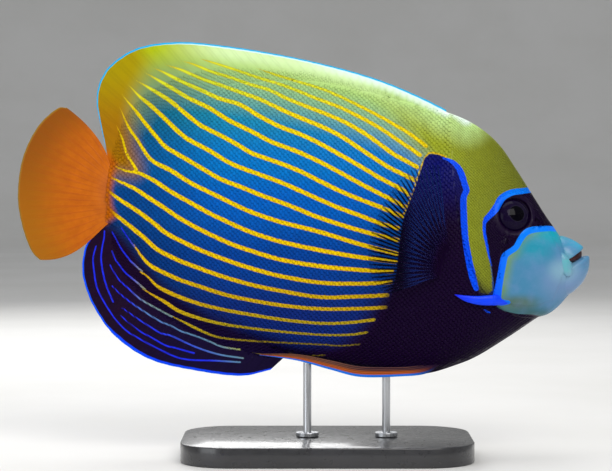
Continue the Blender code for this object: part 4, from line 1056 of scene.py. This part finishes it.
def fin_mesh(name, middle, half, fields, **pattern):
    """A thin fin from a sheet of points, thickened to both sides."""
    rows, columns = half.shape
    out = np.stack([0 * half, half, 0 * half], axis=-1)
    points = np.vstack([(middle + out).reshape(-1, 3), (middle - out).reshape(-1, 3)])
    under = rows * columns
    top = quads(rows, columns)
    rim = list(range(columns)) + [r * columns + columns - 1 for r in range(1, rows)]
    rim += [under - 1 - c for c in range(1, columns)] + [r * columns for r in range(rows - 2, 0, -1)]
    wall = [(a, b, under + b, under + a) for a, b in zip(rim, rim[1:] + rim[:1])]
    faces = top + [tuple(under + corner for corner in face[::-1]) for face in top] + wall
    fields = {**pattern, "fin": np.stack(np.broadcast_arrays(*fields), axis=-1)}
    doubled = {key: np.vstack([v.reshape(-1, 3)] * 2) for key, v in fields.items()}
    return outwards(object_from(name, points, faces, doubled))


def in_side_view(points):
    """The points laid flat on the fish's middle plane."""
    return points.reshape(-1, 3) * FLAT


def coat_fin(name, middle, half, paint):
    """Small scales over the inner part of a fin, on both of its sides."""

    def wanted(hit, x, z):
        return hit[2][0] < COAT_REACH

    for word, side in SIDES:
        grid = middle * np.array([1, side, 1]) + np.stack([0 * half, half, 0 * half], axis=-1)
        surface = Surface(grid, (half.shape[0], 2 * half.shape[1]))
        make_scales(f"{name}_scales_{word}", surface, FIN_COAT, wanted, paint, side, 1.0)


def between(low, high, shares):
    """A sheet of points, from one line at share nought to the other at share one."""
    return low * (1 - shares) + high * shares


def median_fin(root, edge, spiny, offset, half_root, taper, wave, rays_from, notch):
    """A fin on the fish's middle line, from its base inside the body out to its free edge."""
    down = np.linspace(0, 1, FIN_ROWS)
    ridge = ridges(offset, spiny, down)
    cut = EDGE_SHY + notch * (2 * np.abs(offset)) ** 1.5
    run = edge - root
    length = np.linalg.norm(run, axis=1)
    edge = edge - run / length[:, None] * np.minimum(cut, 0.3 * length)[:, None]
    flat = between(root[None], edge[None], down[:, None, None])
    sway = wave(flat[..., 0], flat[..., 1]) * ramp(down, 0.1, 1.0)[:, None]
    middle = np.stack([flat[..., 0], sway, flat[..., 1]], axis=-1)
    thin = MEMBRANE * (1 - MEMBRANE_THINS * down)[:, None]
    risen = (1 - RAY_THINS * down) * ramp(down, rays_from, rays_from + RAY_STARTS)
    half = thin + RAY_RISE * ridge * risen[:, None]
    half = half + (half_root[None] - MEMBRANE) * (1 - down[:, None]) ** taper
    return middle, half, (ridge, length[None] * (1 - down[:, None]), down[:, None])


def make_crest(name, skin, share, span, outline, counts, ripple, paint, coat):
    """A fin along the back, share nought, or the belly, share one, with its foot in the skin."""
    shares, spiny, offset = ray_shape(*counts)
    root = curve_through(skin.edge_line(share, span)[::-1], shares * FIN_END)
    edge = curve_through(outline, shares)
    run = (edge - root) / np.linalg.norm(edge - root, axis=1)[:, None]
    foot = np.full(len(shares), FIN_FOOT)

    def wave(x, z):
        return CREST_SWAY * np.sin(x / ripple[0]) * ramp(-x, *ripple[1:])

    root = root - FIN_SUNK * run
    middle, half, fields = median_fin(
        root, edge, spiny, offset, foot, FIN_TAPER, wave, COAT_REACH, CREST_NOTCH
    )
    coat_fin(name, middle, half, coat)
    obj = fin_mesh(f"{name}_fin_skin", middle, half, fields, **markings(in_side_view(middle)))
    dress(obj, paint, f"{name}_fin", slot=f"{name}_fin")


def make_tail(skin, paint):
    ring = skin.left[0]
    height = ring[0, 2] - ring[-1, 2]
    shares, spiny, offset = ray_shape(TAIL_RAYS)
    root = np.stack([np.full(len(shares), ring[0, 0] + FIN_SUNK), ring[0, 2] - height * shares], axis=-1)
    half_root = np.interp(shares, (ring[0, 2] - ring[:, 2]) / height, ring[:, 1]) - 0.1
    edge = curve_through(TAIL_EDGE, shares)

    def wave(x, z):
        return TAIL_SWAY * np.sin((z - TAIL_STILL) / TAIL_RIPPLE)

    middle, half, fields = median_fin(
        root, edge, spiny, offset, half_root, TAIL_FOOT_TAPER, wave, 0.0, TAIL_NOTCH
    )
    down = fields[2]
    run = (edge - root) / np.linalg.norm(edge - root, axis=1)[:, None]
    upper, lower = (size * down**start * (1 - down) for size, start in TAIL_BOWS)
    bow = np.where(shares[None] < 0.5, upper, lower) * (1 - 2 * shares[None]) ** 3
    middle[..., 0] += bow * run[:, 1]
    middle[..., 2] -= bow * run[:, 0]
    dress(fin_mesh("tail_fin_skin", middle, half, fields), paint, "tail_fin", slot="tail_fin")


def make_pectoral(skin, paint, side, word):
    shares, _, offset = ray_shape(PECTORAL_RAYS, columns=PECTORAL_COLUMNS)
    root = curve_through(PECTORAL_ROOT, shares)
    edge = curve_through(PECTORAL_EDGE, shares)
    down = np.linspace(0, 1, FIN_ROWS)
    flat = between(root[None], edge[None], down[:, None, None])
    reach = np.linalg.norm(flat - root[None], axis=-1)
    start = skin.half_width(*np.mean(PECTORAL_ROOT, axis=0)) - PECTORAL_SUNK
    rise = PECTORAL_LIFT * PECTORAL_SUNK * ramp(reach, 0, PECTORAL_FREE)
    out = start + rise + reach * math.tan(math.radians(PECTORAL_FLARE))
    middle = np.stack([flat[..., 0], out * side, flat[..., 1]], axis=-1)
    ridge = threads(offset, down)
    half = PECTORAL_THIN + PECTORAL_RAY * ridge * (1 - RAY_ENDS * down)[:, None]
    half = half + (1 - down[:, None]) ** PECTORAL_TAPER
    edge_off = np.linalg.norm(edge - root, axis=1)[None] * (1 - down[:, None])
    obj = fin_mesh(f"pectoral_fin_skin_{word}", middle, half, (ridge, edge_off, down[:, None]))
    dress(obj, paint, f"pectoral_fin_{word}", slot="pectoral_fin")


def make_pelvic(paint, side, word):
    shares, _, offset = ray_shape(PELVIC_RAYS)
    along = np.linspace(0, 1, PELVIC_ROWS)
    low, high = curve_through(PELVIC_LOW, along), curve_through(PELVIC_HIGH, along)
    flat = between(low[:, None], high[:, None], shares[None, :, None])
    out = PELVIC_OUT + PELVIC_SPREAD * shares[None] - PELVIC_CLOSE * along[:, None]
    middle = np.stack([flat[..., 0], out * side, flat[..., 1]], axis=-1)
    ridge = np.broadcast_to(ray_at(offset, PELVIC_RAY_BREADTH)[None], out.shape)
    half = PELVIC_THIN + PELVIC_FOOT * (1 - along[:, None]) ** 3
    half = half + PELVIC_RAY * ridge * (1 - RAY_ENDS * along[:, None])
    obj = fin_mesh(f"pelvic_fin_skin_{word}", middle, half, (ridge, shares[None], along[:, None]))
    dress(obj, paint, f"pelvic_fin_{word}", slot="pelvic_fin")


def cheek_at_eye(skin):
    """The cheek's own surface under the eye, from the skin round it, and the way it faces."""
    x, z = EYE_AT
    spots = [(x + dx * EYE_SPAN, z + dz * EYE_SPAN) for dx, dz in ((1, 0), (-1, 0), (0, 1), (0, -1))]
    front, back, top, low = (skin.seen(*spot)[0] for spot in spots)
    facing = (top - low).cross(front - back).normalized()
    at = (front + back + top + low) / 4
    return Vector((x, at.y + EYE_SWELL, z)), facing if facing.y > 0 else -facing


def make_eye(skin, paint, side, word):
    """A fine eyeball that faces the way the cheek does."""
    at, facing = cheek_at_eye(skin)
    shape = bmesh.new()
    bmesh.ops.create_uvsphere(shape, u_segments=EYE_SEGMENTS, v_segments=EYE_RINGS, radius=1.0)
    bmesh.ops.transform(shape, matrix=Matrix.Rotation(math.pi / 2, 4, "X"), verts=shape.verts)
    radii = np.array([EYE_RADIUS, EYE_HALF_DEPTH, EYE_RADIUS])
    local = np.array([v.co for v in shape.verts]) * radii
    across = Vector((1, side, 1))
    turn = Vector((0, 1, 0)).rotation_difference(facing * across)
    centre = (at + facing * (EYE_PROUD - EYE_HALF_DEPTH)) * across
    matrix = Matrix.Translation(centre) @ turn.to_matrix().to_4x4() @ Matrix.Diagonal((*radii, 1.0))
    bmesh.ops.transform(shape, matrix=matrix, verts=shape.verts)
    points = np.array([v.co for v in shape.verts])
    faces = [[v.index for v in face.verts] for face in shape.faces]
    shape.free()
    off = np.hypot(local[:, 0], local[:, 2])
    obj = outwards(object_from(f"eyeball_{word}", points, faces, {"iris": np.stack([off] * 3, axis=-1)}))
    dress(obj, paint, f"eye_{word}", slot="eye")


def lip_rings(outline, corner, width=LIP_WIDTH, along=64, around=110):
    """Sections across the mouth: the lip's outline, drawn in to its corner at either side."""
    x, z = curve_through([*outline, outline[0]], np.linspace(0, 1, around, endpoint=False)).T
    rings = []
    for turn in np.linspace(-TUBE_TURN, TUBE_TURN, along):
        x_here, z_here = (middle + math.cos(turn) * (v - middle) for v, middle in zip((x, z), corner))
        rings.append(np.stack([x_here, np.full(around, width * math.sin(turn)), z_here], -1))
    return rings


def plate_rings(skin, side, along=30, around=48):
    """The flat bone at the corner of the upper jaw, an egg sunk in the cheek."""
    middle = (JAW_PLATE[0], side * (skin.half_width(*JAW_PLATE) + PLATE_PROUD - PLATE_SIZE[1]), JAW_PLATE[1])
    turn = np.linspace(0, 2 * math.pi, around, endpoint=False)
    rings = []
    for rise in np.linspace(-TUBE_TURN, TUBE_TURN, along):
        size, up = math.cos(rise), math.sin(rise)
        ring = np.stack([size * np.cos(turn), size * np.sin(turn), np.full(around, up)], -1) * PLATE_SIZE
        rings.append(np.array(middle) + ring + np.array([PLATE_LEAN * up, 0, 0]))
    return rings


def tubes(*many):
    """Points and faces of closed tubes, each from its rings and a point in the middle of either end."""
    points, faces = np.zeros((0, 3)), []
    for rings in many:
        rings = np.array(rings, float)
        count, around = rings.shape[:2]
        tube = quads(count, around, closed=True)
        for start, middle in ((0, count * around), ((count - 1) * around, count * around + 1)):
            tube.extend((start + k, start + (k + 1) % around, middle) for k in range(around))
        faces.extend(tuple(len(points) + k for k in face) for face in tube)
        points = np.vstack([points, rings.reshape(-1, 3), rings[0].mean(axis=0), rings[-1].mean(axis=0)])
    return points, faces


def make_lip(name, paint, rings, *nodes):
    points, faces = tubes(*rings)
    obj = outwards(object_from(name, points, faces, markings(in_side_view(points))))
    dress(obj, paint, *nodes, slot="lips")


def make_spine(skin, paint, side, word):
    """The long cheek spine, a flattened cone that clears the gill cover."""
    rings = []
    shares = np.linspace(0, 1, SPINE_RINGS)
    for share, (x, z, radius) in zip(shares, curve_through(SPINE, shares)):
        free = ramp(share, 0, SPINE_FREE)
        rise = (SPINE_FLAT * radius + SPINE_LIFT) * free - SPINE_SUNK * (1 - free)
        centre = Vector((x, side * (skin.half_width(x, z) + rise), z))
        turns = np.linspace(0, 2 * math.pi, SPINE_AROUND, endpoint=False)
        spread = [Vector((0, SPINE_FLAT * math.cos(turn), math.sin(turn))) for turn in turns]
        rings.append([centre + point * float(radius) for point in spread])
    dress(outwards(object_from(f"cheek_spine_{word}", *tubes(rings))), paint, slot="head_skin")


def soften(node, paint, name, slot, bevel):
    """A copy of a solid of the stand, cleaned and smooth shaded, with its edges eased where a bevel is given.
    """
    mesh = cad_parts[node].data.copy()
    mesh.materials.clear()
    obj = in_scene(name, mesh)
    shape = bmesh.new()
    shape.from_mesh(mesh)
    bmesh.ops.remove_doubles(shape, verts=shape.verts, dist=MERGE)
    level = math.radians(LEVEL_ANGLE)
    bmesh.ops.dissolve_limit(shape, angle_limit=level, verts=shape.verts, edges=shape.edges)
    shape.to_mesh(mesh)
    shape.free()
    mesh.shade_smooth()
    mesh.set_sharp_from_angle(angle=math.radians(SHARP_ANGLE))
    if bevel:
        edge = obj.modifiers.new("Bevel", "BEVEL")
        edge.width = bevel * MM
        edge.segments = BEVEL_STEPS
        edge.limit_method = "ANGLE"
        edge.angle_limit = math.radians(BEVEL_ANGLE)
    dress(obj, paint, node, slot=slot)


# The room, the light and the camera.


def make_floor(paint):
    """A pale round floor that rises far from the fish in one soft sweep, alike on every side."""
    bend = np.radians(np.linspace(0, 90, 17))
    profile = [(FLOOR_FLAT + FLOOR_CURVE * math.sin(t), FLOOR_CURVE * (1 - math.cos(t))) for t in bend]
    profile.append((FLOOR_FLAT + FLOOR_CURVE, FLOOR_RISE))
    turns = np.linspace(0, 2 * math.pi, FLOOR_SIDES, endpoint=False)
    points = [(0, 0, 0)]
    points += [(reach * math.cos(turn), reach * math.sin(turn), z) for reach, z in profile for turn in turns]
    faces = [(0, 1 + k, 1 + (k + 1) % FLOOR_SIDES) for k in range(FLOOR_SIDES)]
    rise = quads(len(profile), FLOOR_SIDES, closed=True)
    faces += [(1 + a, 1 + d, 1 + c, 1 + b) for a, b, c, d in rise]
    floor = object_from("floor_sweep", points, faces)
    floor.data.materials.append(paint)


def turned_to(obj, at, aim):
    """Puts a lamp or camera in its place, in millimetres, and turns it to its aim."""
    obj.location = Vector(at) * MM
    obj.rotation_mode = "QUATERNION"
    obj.rotation_quaternion = (Vector(aim) * MM - obj.location).to_track_quat("-Z", "Y")


def make_lights():
    for name, at, size, power, colour in LIGHTS:
        lamp = bpy.data.lights.new(name, "AREA")
        lamp.shape = "RECTANGLE"
        lamp.size, lamp.size_y = size[0] * MM, size[1] * MM
        lamp.energy = power
        lamp.color = colour
        turned_to(in_scene(name, lamp), at, LIGHT_AIM)
    world = bpy.data.worlds.new("studio")
    world.use_nodes = True
    world.node_tree.nodes["Background"].inputs["Color"].default_value = WORLD_COLOUR
    world.node_tree.nodes["Background"].inputs["Strength"].default_value = WORLD_STRENGTH
    bpy.context.scene.world = world
    bpy.context.scene.view_settings.view_transform = "Standard"


def make_camera():
    middle_x, middle_z = from_photo([PHOTO_MIDDLE])[0]
    camera = bpy.data.cameras.new("photo_view")
    camera.sensor_width = SENSOR
    camera.lens = SENSOR * CAMERA_AWAY / (PHOTO_WIDTH * PIXEL)
    camera.clip_start, camera.clip_end = CAMERA_SEES
    obj = in_scene("photo_view", camera)
    turned_to(obj, camera_place(), (middle_x, 0, middle_z))
    bpy.context.scene.camera = obj


def main():
    skin = Skin()
    make_skin(skin, skin_paint())
    scaly = scale_paint()
    make_coats(skin, scaly)
    lips = lip_paint()
    upper = [lip_rings(UPPER_LIP, UPPER_CORNER), *[plate_rings(skin, side) for side in (1, -1)]]
    make_lip("lip_upper", lips, upper, "upper_lip")
    make_lip("lip_lower", lips, [lip_rings(LOWER_LIP, LOWER_CORNER)], "lower_lip")
    make_lip("mouth_inside", shaded_mouth_paint(), [lip_rings(MOUTH_INSIDE, MOUTH_CORNER, MOUTH_WIDTH)])
    for name, share, span, outline, counts, ripple, edging in CREST_FINS:
        paint = fin_paint(f"{name}_fin_skin", *edging)
        make_crest(name, skin, share, span, outline, counts, ripple, paint, scaly)
    make_tail(skin, tail_paint())
    clear, rust, wet, blue = pectoral_paint(), pelvic_paint(), eye_paint(), spine_paint()
    for word, side in SIDES:
        make_pectoral(skin, clear, side, word)
        make_pelvic(rust, side, word)
        make_eye(skin, wet, side, word)
        make_spine(skin, blue, side, word)
    soften("stand_base", base_paint(), "display_base", "stand_base", BASE_BEVEL)
    steel = rod_paint()
    for word in ("front", "rear"):
        soften(f"stand_rod_{word}", steel, f"display_rod_{word}", "stand_rod", ROD_BEVEL)
    make_floor(floor_paint())
    make_lights()
    make_camera()


main()
